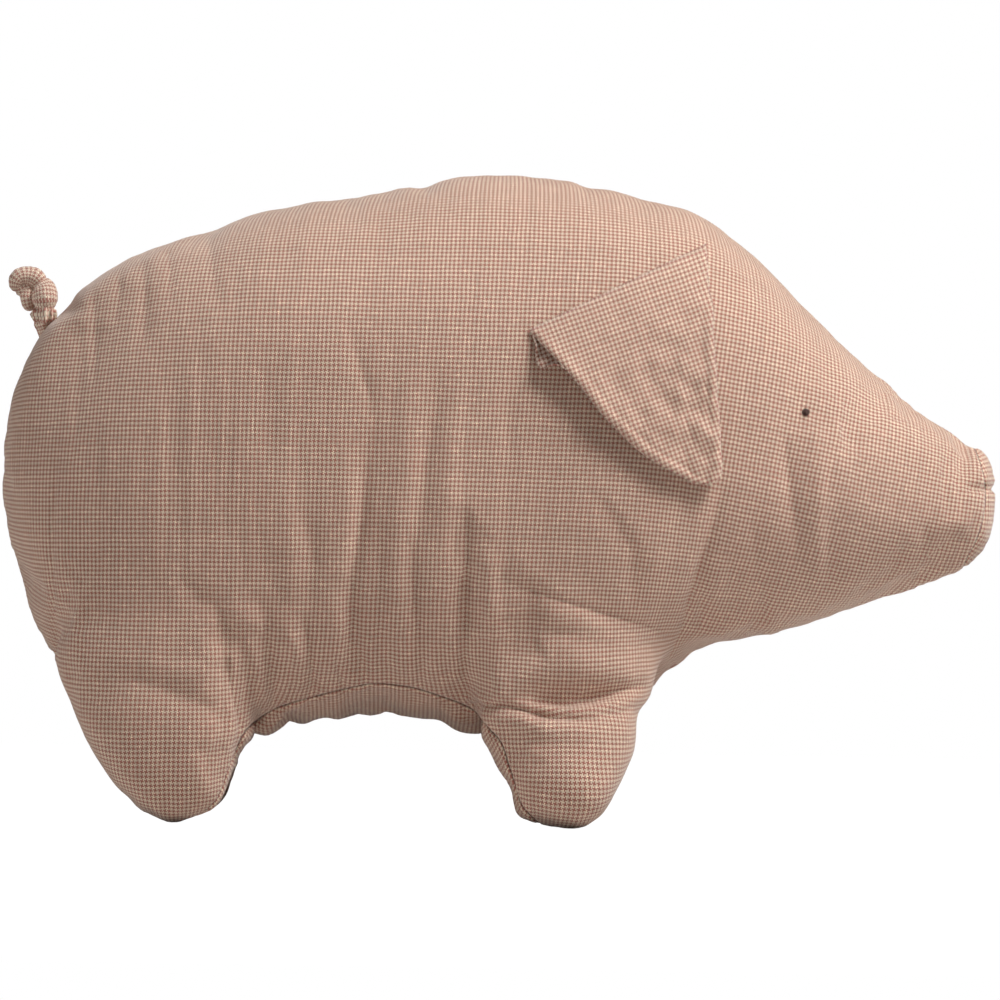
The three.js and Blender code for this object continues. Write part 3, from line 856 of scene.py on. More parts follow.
def split_near_edge(piece, reach):
    """Halves the faces within reach of the seam, so that it can roll in crisply."""
    halve_faces(piece, distance_to_edge(piece) < reach)
    with edit_mode(piece):
        bpy.ops.mesh.remove_doubles(threshold=0.15 * mm)


# %% Roll the seams in
seam_deep, seam_wide = 0.85 * mm, 0.8 * mm
allowance_high, allowance_far, allowance_wide = 0.35 * mm, 2.8 * mm, 1.4 * mm
seam_distance = {}
body.data.update()
whole_points, whole_out = points_of(body), normals_of(body)
for piece in cloth_pieces:
    split_near_edge(piece, 3.2 * mm)
    far = distance_to_edge(piece)
    seam_distance[piece.name] = far
    rolled = allowance_high * bump(far, allowance_far, allowance_wide) - seam_deep * bump(
        far, 0, seam_wide)
    rolled *= 1 - 0.55 * step(points_of(piece)[:, 0], 0.19, 0.22)
    piece.data.update()
    co, out = points_of(piece), normals_of(piece)
    near = far < 5 * mm
    shared = bump(far[near], 0, 3 * mm)[:, None]
    out[near] += (carried(co[near], whole_points, whole_out) - out[near]) * shared
    set_points(piece, on_the_floor(co + out * rolled[:, None]))
    print(piece.name, "has", int((far < seam_wide).sum()), "points in its seams")


# %% Lay the cloth out flat, by least squares
def solve_over_edges(ends, wanted, guess, rounds):
    """Values whose differences along the edges come closest to the wanted ones."""
    count = len(guess)

    def gather(per_edge):
        return np.bincount(ends[:, 1], per_edge, count) - np.bincount(
            ends[:, 0], per_edge, count)

    def spread(values):
        return gather(values[ends[:, 1]] - values[ends[:, 0]])

    scale = 1 / np.maximum(np.bincount(ends.ravel(), minlength=count), 1)
    value = guess.copy()
    rest = gather(wanted) - spread(value)
    ahead = scale * rest
    way, size = ahead, rest @ ahead
    enough = size * 1e-12
    for _ in range(rounds):
        if size <= enough:
            break
        pushed = spread(way)
        length = size / (way @ pushed)
        value = value + length * way
        rest = rest - length * pushed
        ahead = scale * rest
        size, last = rest @ ahead, size
        way = ahead + size / last * way
    return value


def lay_flat(piece, along, up, rounds):
    """Two coordinates of every point on the flat cloth, along and up being its threads' ways."""
    co, normals, ends = points_of(piece), normals_of(piece), edges_of(piece)
    along, up = np.broadcast_to(along, co.shape), np.broadcast_to(up, co.shape)
    facing = np.sign(np.mean(dot(np.cross(along, up), normals)))
    flat_along = along - normals * dot(along, normals)[:, None]
    flat_up = up - normals * dot(up, normals)[:, None]
    first = smoothed(flat_along + facing * np.cross(flat_up, normals), ends, 6)
    first = unit(first - normals * dot(first, normals)[:, None])
    second = facing * np.cross(normals, first)
    run = co[ends[:, 1]] - co[ends[:, 0]]
    flat = []
    for threads, start in ((first, along), (second, up)):
        mean = (threads[ends[:, 0]] + threads[ends[:, 1]]) / 2
        flat.append(solve_over_edges(ends, dot(run, mean), dot(co, start), rounds))
    return np.stack(flat, 1)


# %% Write what the materials read: the flat cloth, and how far the seam is
def set_cloth_map(piece, flat, pitch):
    """Writes the flat coordinates as a UV map in which one check is one unit."""
    corner = read(piece.data.loops, "vertex_index", 1, int)[:, 0]
    for old in list(piece.data.uv_layers):
        piece.data.uv_layers.remove(old)
    layer = piece.data.uv_layers.new(name="cloth")
    layer.uv.foreach_set("vector", (flat[corner] / np.asarray(pitch)).ravel())


def set_seam_distance(piece, far):
    attribute = piece.data.attributes.new("seam_distance", "FLOAT", "POINT")
    attribute.data.foreach_set("value", far.astype(np.float32))


# %% Which way the threads run in each piece
check_pitch = (2.12 * mm, 2.28 * mm)
thread_ways = {"belly_gusset_cloth": ((1, 0, 0), (0, 1, 0)),
               "snout_disc_cloth": ((0, 1, 0), (0, 0, 1))}


def side_thread_ways(co):
    """Level and upright on the body; on the head the threads run down towards the snout."""
    turn = math.radians(13) * step(co[:, 0], 0.03, 0.15) - math.radians(4) * step(
        co[:, 0], 0.17, 0.24)
    c, s, none = np.cos(turn), np.sin(turn), 0 * turn
    return np.stack([c, none, -s], 1), np.stack([s, none, c], 1)


for piece in cloth_pieces:
    along, up = thread_ways.get(piece.name) or side_thread_ways(points_of(piece))
    flat = lay_flat(piece, along, up, 600)
    set_cloth_map(piece, flat, check_pitch)
    # On the snout the seam is read a quarter millimetre farther away, so its painted seam shade is
    # lighter.
    on_snout = step(points_of(piece)[:, 0], 0.19, 0.22)
    set_seam_distance(piece, seam_distance[piece.name] + 0.25 * mm * on_snout)
    size = flat.max(0) - flat.min(0)
    print(piece.name, "lies flat in", (size / mm).round(), "mm")

# %% Cloth thickness
cloth_thick = 0.9 * mm
cloth_area = {}
for piece in cloth_pieces:
    cloth_area[piece.name] = round(sum(face.area for face in piece.data.polygons), 4)
    print(piece.name, "area", cloth_area[piece.name], "square metres")
    apply_new(piece, "SOLIDIFY", thickness=cloth_thick, offset=-1)
    make_smooth(piece)
    piece.data.update()
    print(piece.name, sum(len(face.vertices) - 2 for face in piece.data.polygons), "triangles")

# %% [markdown]
# ## Woven check
#
# The cloth is a plain weave of two coloured and two cream threads in turn, both ways. Where
# colour crosses colour it looks dark red-brown, where cream crosses cream it is light, and
# elsewhere the two mix. The material works this out thread by thread: which thread passes over,
# its colour, its own small differences, and its rounded height for the bump and for painted
# shade between the threads.

# %% Shader maths as plain expressions
def feed(node, given):
    """Links the sockets of a node that get a Value, and sets the others."""
    for key, value in given.items():
        if isinstance(value, Value):
            value.tree.links.new(value.socket, node.inputs[key])
        else:
            node.inputs[key].default_value = value


class Value:
    """A socket of a material's node tree that can be added, multiplied and so on."""

    def __init__(self, tree, socket=None):
        self.tree, self.socket = tree, socket

    def node(self, kind, settings=None, inputs=None, output=0):
        made = self.tree.nodes.new(kind)
        for name, setting in (settings or {}).items():
            setattr(made, name, setting)
        feed(made, inputs or {})
        return Value(self.tree, made.outputs[output])

    def output(self, key):
        """Another output of the node that this one comes from."""
        return Value(self.tree, self.socket.node.outputs[key])

    def math(self, operation, *others):
        return self.node("ShaderNodeMath", {"operation": operation},
                         dict(enumerate((self, *others))))

    def __add__(self, other):
        return self.math("ADD", other)

    def __sub__(self, other):
        return self.math("SUBTRACT", other)

    def __rsub__(self, other):
        return self.math("MULTIPLY", -1).math("ADD", other)

    def __mul__(self, other):
        return self.math("MULTIPLY", other)

    __radd__, __rmul__ = __add__, __mul__

    def floor(self):
        return self.math("FLOOR")

    def below(self, limit):
        return self.math("LESS_THAN", limit)

    def wrapped(self, size):
        return self.math("FLOORED_MODULO", size)

    def toward(self, other, share):
        """self where share is 0 and other where it is 1."""
        return self + (other - self) * share

    def ramp(self, low, high):
        return self.node("ShaderNodeMapRange", {"interpolation_type": "SMOOTHSTEP"},
                         {"Value": self, "From Min": low, "From Max": high})

    def noise(self, scale, detail=2.0, dimensions="3D", distortion=0.0):
        """Soft noise from 0 to 1, with this value as the place."""
        return self.node("ShaderNodeTexNoise", {"noise_dimensions": dimensions}, {
            "Vector": self, "Scale": scale, "Detail": detail, "Distortion": distortion})

    def as_relief(self, strength, deep):
        """The normal of a surface that rises by this value."""
        return self.node("ShaderNodeBump", inputs={
            "Strength": strength, "Distance": deep, "Height": self})


# %% Colours and new materials
def mixed(share, first, second):
    """A colour between two colours."""
    return share.node("ShaderNodeMix", {"data_type": "RGBA"}, {0: share, 6: first, 7: second}, 2)


def linear(red, green, blue):
    """A colour as a screen shows it, 0 to 255, as the shader wants it."""
    return tuple((c / 255 / 12.92) if c < 10 else ((c / 255 + 0.055) / 1.055) ** 2.4
                 for c in (red, green, blue)) + (1,)


def new_material(name):
    material = bpy.data.materials.new(name)
    material.use_nodes = True
    shader = material.node_tree.nodes["Principled BSDF"]
    return material, shader, Value(material.node_tree)


def object_place(make):
    return make.node("ShaderNodeTexCoord", output="Object")


# %% Fine creases that run up and down the flank
def fine_creases(make):
    """Thin upright lines, where a noise stretched in height crosses its middle value."""
    where = object_place(make)

    def lines(stretch, seed, width):
        run = where.node("ShaderNodeVectorMath", {"operation": "MULTIPLY_ADD"},
                         {0: where, 1: stretch, 2: (seed, seed, seed)})
        crossed = run.noise(1.0, 1.0, distortion=0.5)
        return (crossed - 0.5).math("ABSOLUTE").ramp(0.0, width)

    x = where.node("ShaderNodeSeparateXYZ", inputs={0: where})
    height = x.output("Z")
    flank = (1 - x.ramp(-0.01, 0.05)) * (1 - height.ramp(0.24, 0.31)) * height.ramp(0.03, 0.09)
    present = (0.25 + 0.75 * flank) * where.noise(14.0, 1.0).ramp(0.35, 0.6)
    both = lines((95.0, 20.0, 9.0), 3.1, 0.10) + lines((150.0, 30.0, 16.0), 7.9, 0.08)
    return both * present


# %% One way of thread
threads_per_check, dyed_threads = 4, 1.5     # threads 0 and 1 of each four are coloured


def threads(place_across, place_along, seed):
    """The threads' colour share, their own shade, roundness, number and slubs."""
    run = place_across * threads_per_check
    number = run.floor()
    middle = (run - number) * 2 - 1
    dyed = number.wrapped(threads_per_check).below(dyed_threads)
    own = number.node("ShaderNodeTexWhiteNoise", {"noise_dimensions": "1D"},
                      {"W": number + seed})
    strand = number.node("ShaderNodeCombineXYZ", inputs={
        0: number * 3.7 + seed, 1: place_along * 0.55})
    slub = strand.noise(1.0, 2.0, "2D")
    return dyed, 0.89 + own * 0.22 + (slub - 0.5) * 0.45, 1 - middle * middle, number, slub


# %% The check itself
seam_painted_shade, allowance_painted_highlight = 0.6, 0.16


def woven_check(name, coloured, cream, creased=0.0):
    material, shader, make = new_material(name)
    flat = make.node("ShaderNodeUVMap", {"uv_map": "cloth"})
    elsewhere = flat.node("ShaderNodeVectorMath", {"operation": "ADD"},
                          {0: flat, 1: (31.0, 17.0, 0)})
    parts = flat.node("ShaderNodeSeparateXYZ", inputs={0: flat})
    across = parts + (flat.noise(0.11, 3.0, "2D") - 0.5) * 0.35
    upward = parts.output("Y") + (elsewhere.noise(0.11, 3.0, "2D") - 0.5) * 0.35
    warp_dyed, warp_shade, warp_round, warp_number, warp_slub = threads(across, upward, 0.3)
    weft_dyed, weft_shade, weft_round, weft_number, weft_slub = threads(upward, across, 91.7)
    over = (warp_number + weft_number).wrapped(2).below(0.5)
    dyed = warp_dyed.toward(weft_dyed, over)
    shade = warp_shade.toward(weft_shade, over)
    height = (warp_round * (0.45 + 0.55 * weft_round)).toward(
        weft_round * (0.45 + 0.55 * warp_round), over)
    thick_cream = (1 - dyed) * warp_slub.toward(weft_slub, over).ramp(0.62, 0.75)
    patchy = flat.noise(0.028, 4.0, "2D")
    # Painted shade: the colour is darker where a thread rounds down between its neighbours.
    tone = shade * (0.62 + 0.38 * height) * (0.93 + 0.14 * patchy) * (1 + 0.25 * thick_cream)

    seam = make.node("ShaderNodeAttribute", {"attribute_name": "seam_distance"}, output=2)
    # Painted highlight: the colour lightens 0.7 to 1.8 mm from each seam, on the ridge of the
    # allowance.
    allowance = seam.ramp(0.7 * mm, 1.1 * mm) * (1 - seam.ramp(1.2 * mm, 1.8 * mm))
    # Painted shade: the colour darkens within 0.9 mm of each seam, where the groove is.
    tone = tone * (1 - seam_painted_shade * (1 - seam.ramp(0.0, 0.9 * mm)))
    tone = tone * (1 + allowance_painted_highlight * allowance)
    cloth = mixed(dyed, linear(*cream), linear(*coloured))
    cloth = cloth.node("ShaderNodeVectorMath", {"operation": "SCALE"}, {0: cloth, 3: tone})

    fuzz = flat.noise(9.0, 2.0, "2D")
    relief = height + 0.5 * fuzz
    if creased:
        relief = relief + creased * fine_creases(make)
    feed(shader, {"Base Color": cloth, "Normal": relief.as_relief(0.5, 0.12 * mm),
                  "Roughness": 0.85 + 0.12 * fuzz, "Specular IOR Level": 0.25,
                  "Sheen Weight": 0.3, "Sheen Roughness": 0.5})
    return material


body_check = woven_check("body_check", (176, 111, 98), (238, 218, 192), creased=2.6)
print("body check:", len(body_check.node_tree.nodes), "nodes")

# %% [markdown]
# ## Ears
#
# Each ear is two layers of the same cotton, sewn together round two curved free edges, turned,
# and held along a straight base that slopes down to the back. It hangs from that base with its
# rear edge standing clear of the shoulder. A grid is laid between the two edge curves, drawn
# onto the side of the head and lifted off it; the layers close round the edge.

# %% The side of the head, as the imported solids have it
def half_width(values, x, z):
    back, long, thick, high, low, wide = values
    along = np.clip(1 - 2 * (x - back) / long, -1, 1)
    angle = np.arccos(along)
    top, bottom = overall_height * share_at(high, angle), overall_height * share_at(low, angle)
    off = np.clip(np.abs(z - (top + bottom) / 2) / np.maximum((top - bottom) / 2, 1e-6), 0, 1)
    half = thick / 2 * share_at(wide, angle) * (1 - off ** fullness) ** (1 / fullness)
    return np.where(np.abs(along) < 1, half, 0)


def side_width(x, z):
    return np.maximum(half_width(torso_values, x, z), half_width(head_values, x, z))


def side_point(x, z, side):
    """Points on the side of the pig and the way that the surface faces there."""
    slope_x, slope_z = (
        (side_width(x + dx, z + dz) - side_width(x - dx, z - dz)) / (4 * mm)
        for dx, dz in ((2 * mm, 0), (0, 2 * mm)))
    out = np.stack([-slope_x, np.full_like(x, side), -slope_z], 1)
    return np.stack([x, side * side_width(x, z), z], 1), unit(out)


# %% The finished cloth's own side, found by rays
def rays_onto(side, x, z):
    """How far out the finished cloth is at these places of the side view."""
    piece = side_pieces["right" if side < 0 else "left"]
    tree = BVHTree.FromObject(piece, bpy.context.evaluated_depsgraph_get())
    reached = []
    for px, pz, analytic in zip(x, z, side_width(np.asarray(x), np.asarray(z))):
        hit = tree.ray_cast(Vector((px, side * 0.2, pz)), Vector((0, -side, 0)))[0]
        reached.append(abs(hit.y) if hit else analytic)
    return np.array(reached)


# %% The ear's outline in the side view
ear_front_line = [(704, 246), (708, 290), (712, 347), (716, 400), (718.5, 440), (719, 462),
                  (716, 477), (706, 484)]
ear_rear_line = [(529, 331), (547, 355), (574, 384), (602, 418), (635, 450.5), (665, 470.5),
                 (689, 482), (706, 484)]
ear_base_front, ear_base_rear = np.array(place(704, 246)), np.array(place(529, 331))
ear_base_way = (ear_base_rear - ear_base_front) / np.linalg.norm(ear_base_rear - ear_base_front)
ear_base_long, ear_front_long = 99.5 * mm, 118.5 * mm
ear_rows, ear_columns = 72, 64
ear_half_thick = 1.05 * mm
ear_roll = 2.4 * mm
ear_clearance, ear_stand_off = 0.5 * mm, 5.0 * mm
far_from_any_seam = 10 * mm
ear_slant = math.radians(20)


# %% Where the points of a layer lie in the side view
def ear_pattern(side, outer, across, down):
    """Their places, how wide the ear is there, and how far each is in the lining's rear pleats."""
    front, rear = even_path(ear_front_line, down), even_path(ear_rear_line, down)
    run = np.linalg.norm(rear - front, axis=1)
    wander = noise_at(np.stack([down * 9, across * 2, down * 0], 1), 1, 4.4 + side) * 0.7 * mm
    flat = front + (rear - front) * across[:, None]
    flat[:, 0] += wander * (np.abs(across - 0.5) * 2) ** 4 * step(down, 0.04, 0.15)
    pleated = bump(down, 0.115, 0.055) * step(across, 0.9, 1.0)
    if not outer:
        flat += ear_base_way * (4.2 * mm * pleated)[:, None]
        flat[:, 1] -= 6.0 * mm * pleated
    return flat, run, pleated


# %% How far a layer stands off the head
front_edge_creases = (0.28, 1.4), (0.47, 1.7), (0.62, 2.4), (0.73, 2.5), (0.84, 1.5)


def ear_lift(side, flat, run, across, down):
    """Most at the rear edge and its corner, with soft waves, and creases from the front edge."""
    loose = np.sin(down * math.pi / 2) ** 0.8 * (0.75 + 0.7 * across * (1 - down)) / 1.25
    lift = ear_clearance + ear_stand_off * loose * (0.6 + 0.8 * down)
    lift += 1.9 * mm * bump((1 - across) * run, 0, 9 * mm) * step(down, 0.1, 0.4) * (
        1 - 0.7 * step(down, 0.5, 0.85))
    lift += 4.2 * mm * across ** 3 * step(down, 0.0, 0.16) * (1 - step(down, 0.25, 0.65))
    lift += 2.0 * mm * across ** 6 * step(down, 0.02, 0.12) * (1 - step(down, 0.1, 0.4))
    soft = np.stack([flat[:, 0], flat[:, 1], flat[:, 0] * 0], 1)
    lift += step(down, 0.03, 0.3) * mm * (
        1.5 * noise_at(soft, (55, 40, 1), 2.2 + side)
        + (0.9 + 1.1 * (1 - across)) * noise_at(soft, (120, 100, 1), 7.7)
        + 0.6 * (1.2 - across) * noise_at(soft, (300, 240, 1), 3.1))
    for share, deep in front_edge_creases:
        crease = np.exp(-np.abs(down - share + 0.03 * across) * ear_front_long / (1.5 * mm))
        lift -= deep * mm * crease * np.exp(-across * run / (9 * mm))
    return lift


def ear_rim(across, base_far, free_far):
    """The ridge over the turned-in seam, the groove behind it, and the one at the base."""
    rim = 0.3 * mm * (bump(free_far, 3.4 * mm, 1.5 * mm) - bump(free_far, 6.2 * mm, 1.6 * mm))
    rim += 0.45 * mm * np.exp(-free_far / (4 * mm)) * noise_at(
        np.stack([base_far, across * 0.02, 0 * base_far], 1), (210, 60, 1), 9.3)
    return rim - 0.4 * mm * bump(base_far, 3.0 * mm, 0.8 * mm) * np.cos(across * 1.2)


# %% One layer of one ear
def finish_ear_layer(layer, side, outer, rim):
    """Closes the tip, faces it the right way, maps its cloth and gives it its thickness."""
    with edit_mode(layer):
        bpy.ops.mesh.remove_doubles(threshold=0.05 * mm)
    layer.data.update()
    co = points_of(layer)
    if (np.mean(normals_of(layer)[:, 1]) * side > 0) != outer:
        with edit_mode(layer):
            bpy.ops.mesh.flip_normals()
    c, s = math.cos(ear_slant), math.sin(ear_slant)
    turned = np.stack([co[:, 0] * c + co[:, 2] * s, co[:, 2] * c - co[:, 0] * s], 1)
    set_cloth_map(layer, turned, check_pitch)
    set_seam_distance(layer, np.full(len(co), far_from_any_seam))
    full = layer.vertex_groups.new(name="full")
    edge = tree_of(np.insert(rim, 1, 0, axis=1))
    for i, point in enumerate(co * (1, 0, 1)):
        full.add([i], min(edge.find(point)[2] / ear_roll, 1), "REPLACE")
    apply_new(layer, "SOLIDIFY", thickness=cloth_thick, offset=-1, vertex_group="full",
              thickness_vertex_group=0.2)
    make_smooth(layer)


def ear_layer(name, side, outer):
    layer = added(name, bpy.ops.mesh.primitive_grid_add,
                  x_subdivisions=ear_columns, y_subdivisions=ear_rows, size=2)
    across, down = (points_of(layer)[:, :2].T + 1) / 2
    down = down ** 0.9
    flat, run, pleated = ear_pattern(side, outer, across, down)
    base_far, free_far = down * ear_front_long, np.minimum(across, 1 - across) * run
    roll = 1 - np.clip(np.minimum(free_far, base_far) / ear_roll, 0, 1)
    rounded = np.sqrt(1 - roll ** 2)
    height = ear_half_thick * (1 + rounded if outer else 1 - rounded)
    height += ear_lift(side, flat, run, across, down)
    height += ear_rim(across, base_far, free_far) * rounded
    if not outer:
        height -= pleated * (2.2 * mm + 1.1 * mm * np.cos(base_far / mm * 2.3))
    at, out = side_point(flat[:, 0], flat[:, 1], side)
    real = rays_onto(side, flat[:, 0], flat[:, 1])
    at[:, 1] += side * (real - np.abs(at[:, 1])) * (1 - 0.6 * step(base_far, 0, 15 * mm))
    set_points(layer, at + out * np.maximum(height, 0.3 * mm)[:, None])
    finish_ear_layer(layer, side, outer, flat[roll > 0.98])
    return layer


ears = {}
for side_name, side in side_ways.items():
    for part, outer in (("outer", True), ("lining", False)):
        ears[side_name, part] = ear_layer(f"{side_name}_ear_{part}_cloth", side, outer)
        print(side_name, part, len(ears[side_name, part].data.polygons), "faces")

# %% [markdown]
# ## Eyes
#
# Each eye is one knot of dark thread: a few tight loops wound round the needle, drawn down into
# the cloth. Rings of thread are laid on each other, each tilted a little and drawn over the
# centre, and joined.

# %% Eye knots
eye_x, eye_z = place(804.6, 412.4)
thread_thick = 0.85 * mm
eye_rings = [  # radius and height in mm, and how far the ring tilts
    (1.45, 0.35, 0.08), (1.30, 0.95, -0.26), (0.95, 1.45, 0.34), (0.35, 1.5, -0.1),
]


def eye_knot(name, side):
    rings = [added("thread_ring", bpy.ops.mesh.primitive_torus_add, major_segments=40,
                   minor_segments=10, major_radius=radius * mm, minor_radius=thread_thick / 2,
                   location=(0.12 * mm * k, 0, height * mm), rotation=(tilt, 0.6 * tilt, 0.7 * k))
             for k, (radius, height, tilt) in enumerate(eye_rings)]
    knot = joined(name, rings)
    bpy.ops.object.transform_apply(location=True, rotation=True, scale=True)
    remesh(knot, 0.11 * mm)
    at, out = side_point(np.array([eye_x]), np.array([eye_z]), side)
    at[:, 1] = side * rays_onto(side, [eye_x], [eye_z])
    turn = Vector((0, 0, 1)).rotation_difference(Vector(out[0]))
    co = points_of(knot)
    twist = np.arctan2(co[:, 1], co[:, 0]) * 9 + co[:, 2] / mm * 5
    co += normals_of(knot) * (0.05 * mm * np.sin(twist))[:, None]
    set_points(knot, co @ np.array(turn.to_matrix()).T + at[0] - out[0] * 0.15 * mm)
    make_smooth(knot)
    return knot


eyes = {side_name: eye_knot(f"{side_name}_eye_thread", side)
        for side_name, side in side_ways.items()}
print("eye knots:", [len(knot.data.polygons) for knot in eyes.values()], "faces")

# %% [markdown]
# ## Tail
#
# The tail is a narrow tube of the cloth, gathered where it leaves the rump and tied in one fat
# overhand knot, so that its passes press against each other. Each pass is a sphere drawn out
# along a short path; together they are remeshed into one skin, whose valleys are the creases of
# the knot.

# %% Passes of the knotted tube
def tube_pass(name, stops, ruffles=0, ruffle_deep=0.0, blunt=0.5):
    """stops: picture x and y, depth and radius in mm, along the pass."""
    form, polar, turn = ball_of(name, 48, 40)
    stops = np.array(stops, float)
    x, z = place(stops[:, 0], stops[:, 1])
    values = smooth_path(np.stack([x, stops[:, 2] * mm, z, stops[:, 3] * mm], 1), 200)
    line, radius = values[:, :3], values[:, 3]
    ahead = unit(np.gradient(line, axis=0))
    across = unit(np.cross(ahead, (0, 1, 0)))
    toward = np.cross(across, ahead)
    share = (1 - np.cos(polar)) / 2 * (len(line) - 1)
    i = np.clip(share.round().astype(int), 0, len(line) - 1)
    reach = radius[i] * np.sin(polar) ** blunt
    reach = reach * (1 + ruffle_deep * np.cos(ruffles * turn + 2 * np.sin(3 * turn)))
    co = line[i] + reach[:, None] * (
        across[i] * np.cos(turn)[:, None] - toward[i] * np.sin(turn)[:, None])
    set_points(form, co)
    steps, centres = run_along(line), tree_of(line)

    def laid_flat(points):
        """How far round the tube and along it each point of its skin is."""
        k = np.array([centres.find(point)[1] for point in points])
        off = points - line[k]
        turned = np.arctan2(-dot(off, toward[k]), dot(off, across[k]))
        turned = np.where(turned < -math.pi / 2, turned + 2 * math.pi, turned)
        return np.stack([turned * radius.mean(), steps[k] + dot(off, ahead[k])], 1)

    return form, co, laid_flat


passes = [
    tube_pass("neck", [(51, 347, 0, 5.4), (49.5, 337, 0, 5.2), (47.5, 328, 0, 5.3),
                       (45.5, 321, 0, 5.9), (45, 313, 0, 5.3)], 11, 0.09, 0.35),
    tube_pass("ruffle", [(45, 321, -1.0, 5.0), (44.7, 315, -2.4, 6.6), (45, 310, -1.0, 5.0)],
              9, 0.16, 0.45),
    tube_pass("near wrap", [(45.5, 308.5, -1.4, 5.8), (45.2, 302.5, -3.0, 6.4),
                            (45, 296, -2.4, 6.4), (44, 288, -0.8, 6.1), (40, 281, 0.6, 5.0)]),
    tube_pass("far wrap", [(38, 309, 3.4, 3.8), (38, 297, 4.4, 4.4), (41, 286, 3.2, 4.4)]),
    tube_pass("under pass", [(31, 311, 0.2, 2.2), (28.5, 305, 0.0, 3.3), (27, 297, -0.3, 3.6),
                             (27.5, 287, 0.0, 3.6)]),
    tube_pass("tuck", [(15.5, 292.5, 0.3, 1.6), (19.5, 291, 0.4, 2.7), (26, 288, 0.6, 3.4),
                       (34, 285, 0.6, 3.6)]),
    tube_pass("end", [(43, 288, -0.2, 4.6), (36, 278, -0.4, 5.3), (27.5, 275.2, -0.6, 4.5),
                      (20, 276.5, -0.9, 4.5), (15.5, 282, -0.9, 4.1), (14.5, 291.5, -0.5, 2.6)]),
]
print("tail:", len(passes), "passes")

# %% One skin for the knot, with its check laid along each pass
pass_skin = tree_of(np.concatenate([co for _, co, _ in passes]))
pass_of = np.repeat(range(len(passes)), [len(co) for _, co, _ in passes])
tail = joined("knotted_tail_cloth", [form for form, _, _ in passes])
remesh(tail, 0.42 * mm)
co = smoothed(points_of(tail), edges_of(tail), 2)
set_points(tail, co)
owner = pass_of[[pass_skin.find(point)[1] for point in co]]
flat = np.zeros((len(co), 2))
for number, (_, _, laid_flat) in enumerate(passes):
    flat[owner == number] = laid_flat(co[owner == number])
wrinkle = noise_at(co, 330, 1.9) * 0.28 + noise_at(co, (700, 700, 500), 5.5) * 0.16
set_points(tail, co + normals_of(tail) * (wrinkle * mm)[:, None])
set_cloth_map(tail, flat, 0.8 * np.array(check_pitch))
set_seam_distance(tail, np.full(len(co), far_from_any_seam))
make_smooth(tail)
print("tail:", len(tail.data.polygons), "faces")

# %% Ears, eyes and tail: materials
# Painted light: the ear's copy of the cotton has its own colours, set to how the light falls on the
# ear.
ear_check_painted_light = woven_check("ear_check_painted_light", coloured=(178, 116, 103), cream=(233, 213, 188), creased=1.4)
# Painted light: the tail's copy of the cotton is lighter than the body's, for the light the knot
# catches.
tail_check_painted_light = woven_check("tail_check_painted_light", coloured=(193, 132, 117), cream=(248, 230, 207))
# Painted shade: the lining's copy of the cotton is darker than the body's, for the shade under the
# ear's rear edge.
lining_check_painted_shade = woven_check("lining_check_painted_shade", coloured=(150, 90, 74), cream=(226, 204, 184))


def thread_material(name, colour):
    material, shader, make = new_material(name)
    strand = object_place(make).noise(2600.0)
    dark, light = ((*(share * c for c in linear(*colour)[:3]), 1) for share in (0.6, 1.4))
    feed(shader, {"Base Color": mixed(strand, dark, light),
                  "Normal": strand.as_relief(0.4, 0.1 * mm), "Roughness": 0.7})
    return material


dark_thread = thread_material("dark_thread", (62, 36, 28))

# %% Each ear layer gets its cloth and stands for its own solid
for (side_name, part), layer in ears.items():
    paint(layer, ear_check_painted_light if part == "outer" else lining_check_painted_shade)
    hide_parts(f"{side_name}_ear_{part}")
    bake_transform(layer)

# %% The eyes ride along with the stuffed body; the tail gets its cloth, and its foot and waist are found
for side_name, knot in eyes.items():
    paint(knot, dark_thread)
    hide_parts(f"{side_name}_eye_knot")
    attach(knot, "stuffed_body")
paint(tail, tail_check_painted_light)
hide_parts("tail_tube")
tail_foot, tail_waist = (Vector((place(px, py)[0], 0, place(px, py)[1]))
                         for px, py in ((40, 336), (46, 312)))
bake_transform(tail)
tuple(tail_foot)
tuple(tail_waist)

# %% [markdown]
# ## Riding on the stuffed body
#
# The body's cloth pieces, the eyes and the filling ride on the imported model's stuffed body,
# and every piece stands for the solids it covers.

# %% What the body's cloth stands for
leg_names = [f"{end}_{side_name}_leg" for end in ("front", "hind") for side_name in side_ways]
for piece in cloth_pieces:
    paint(piece, body_check)
for side_name, piece in side_pieces.items():
    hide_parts(f"{side_name}_side_panel", f"front_{side_name}_leg_outer",
                f"hind_{side_name}_leg_outer")
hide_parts("belly_gusset", *[f"{leg}_inner" for leg in leg_names])
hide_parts("snout_disc")

# %% The filling lies a little inside the cloth
filling_inset, filling_gap = 5 * mm, 3 * mm
body.name = "fibre_filling"
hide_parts("torso_stuffing", "head_stuffing", *[f"{leg}_stuffing" for leg in leg_names])
remesh(body, 4 * mm)
body.data.update()
inner = points_of(body) - normals_of(body) * filling_inset
set_points(body, smoothed(inner, edges_of(body), 12))
cloth = tree_of(np.concatenate([points_of(piece) for piece in cloth_pieces]))
for _ in range(3):
    body.data.update()
    inner, facing = points_of(body), normals_of(body)
    tight = np.array([cloth.find(point)[2] for point in inner]) < filling_gap
    set_points(body, inner - facing * (1.5 * mm * tight)[:, None])
print("filling:", len(body.data.vertices), "points,", int(tight.sum()), "still close to the cloth")

# %% The cloth and the filling ride on the stuffed body
for piece in (*cloth_pieces, body):
    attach(piece, "stuffed_body")

# %% Spun fibre
fibre, fibre_shader, make = new_material("spun_fibre")
strands = object_place(make).noise(900.0, 3.0, distortion=2.0)
feed(fibre_shader, {"Base Color": mixed(strands, linear(226, 223, 217), linear(250, 249, 245)),
                    "Normal": strands.as_relief(0.6, 0.5 * mm), "Roughness": 0.9})
paint(body, fibre)
make_smooth(body)

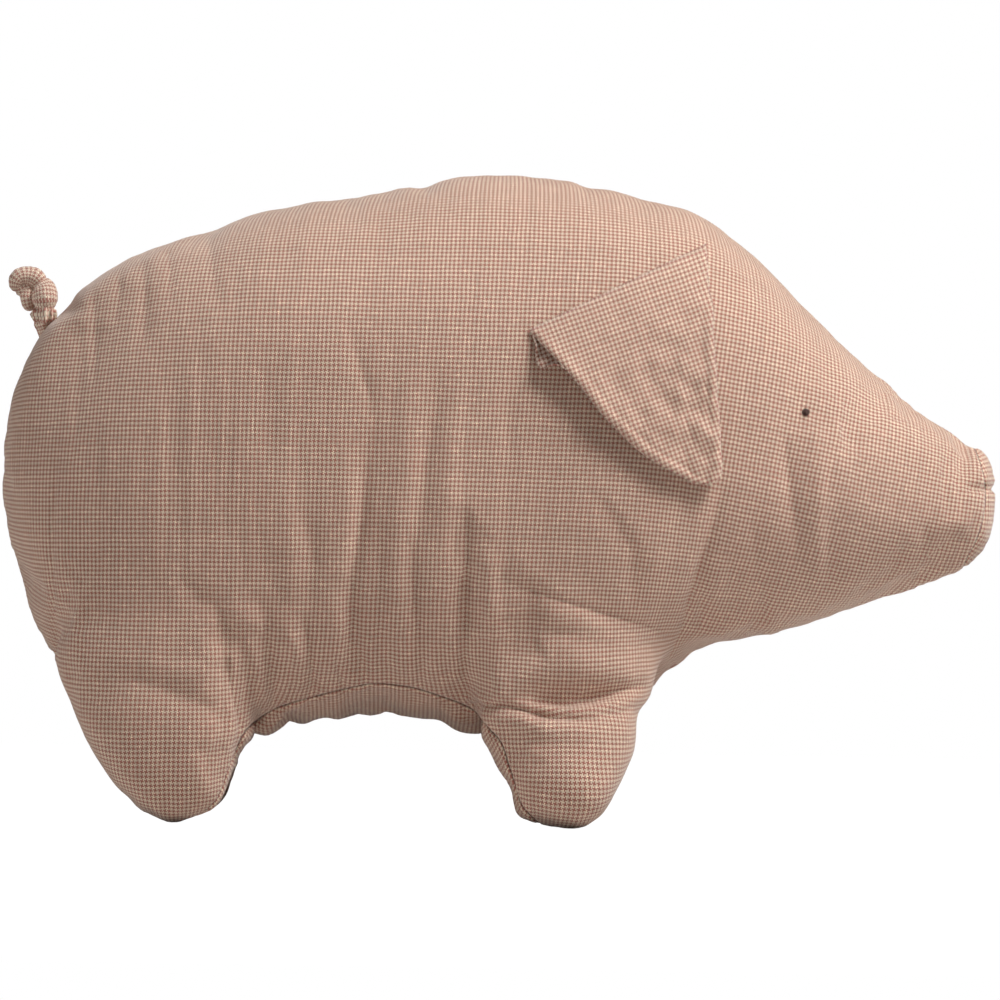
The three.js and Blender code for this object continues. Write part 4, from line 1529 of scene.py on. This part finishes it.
# %% [markdown]
# ## Floor, backdrop and light
#
# The pig stands on a pale floor under soft studio light from the upper right front, with a weaker
# lamp low behind it. The camera sees floor and backdrop as white, while the pig is lit by the
# lamps and by what the floor throws back.

# %% Floor
floor = added("floor", bpy.ops.mesh.primitive_plane_add, size=12)
floor_white, floor_shader, make = new_material("floor_white")
feed(floor_shader, {"Base Color": linear(210, 208, 206), "Roughness": 0.9})
seen_white = make.node("ShaderNodeLightPath").output("Is Camera Ray") * 0.88
glow = make.node("ShaderNodeEmission", inputs={"Color": (1, 1, 1, 1), "Strength": 1.13})
both = make.node("ShaderNodeMixShader", inputs={
    0: seen_white, 1: Value(make.tree, floor_shader.outputs[0]), 2: glow})
feed(make.tree.nodes["Material Output"], {"Surface": both})
floor.data.materials.append(floor_white)

# %% Backdrop: seen as white, and giving hardly any light
ambient = 0.005
scene = bpy.context.scene
scene.view_settings.view_transform = "Standard"
world = scene.world or bpy.data.worlds.new("studio")
scene.world = world
world.use_nodes = True
rays = Value(world.node_tree).node("ShaderNodeLightPath")
seen = rays.output("Is Camera Ray").math("MAXIMUM", rays.output("Is Glossy Ray")).math(
    "MAXIMUM", rays.output("Is Transmission Ray"))
feed(world.node_tree.nodes["Background"], {
    "Color": (1, 1, 1, 1), "Strength": seen * (1 - ambient) + ambient})

# %% Lamps
lamp_aim, lamp_far = Vector((0, 0, 0.16)), 2.2


def lamp_at(name, around, above, size, power):
    """around counts from the snout's way, and minus is the camera's side; above is the height."""
    turn, rise = math.radians(around), math.radians(above)
    way = Vector((math.cos(rise) * math.cos(turn), math.cos(rise) * math.sin(turn), math.sin(rise)))
    bpy.ops.object.light_add(type="AREA", location=lamp_aim + lamp_far * way)
    lamp = bpy.context.object
    lamp.name = name
    lamp.rotation_euler = (-way).to_track_quat("-Z", "Y").to_euler()
    lamp.data.size = size
    lamp.data.energy = power
    print(name, "at", [round(v, 2) for v in lamp.location], "with", power, "W")


lamp_at("key", -36, 50, 0.8, 48.5)
lamp_at("top", -10, 66, 0.8, 14)
lamp_at("low_fill", -170, 5, 0.9, 12.9)
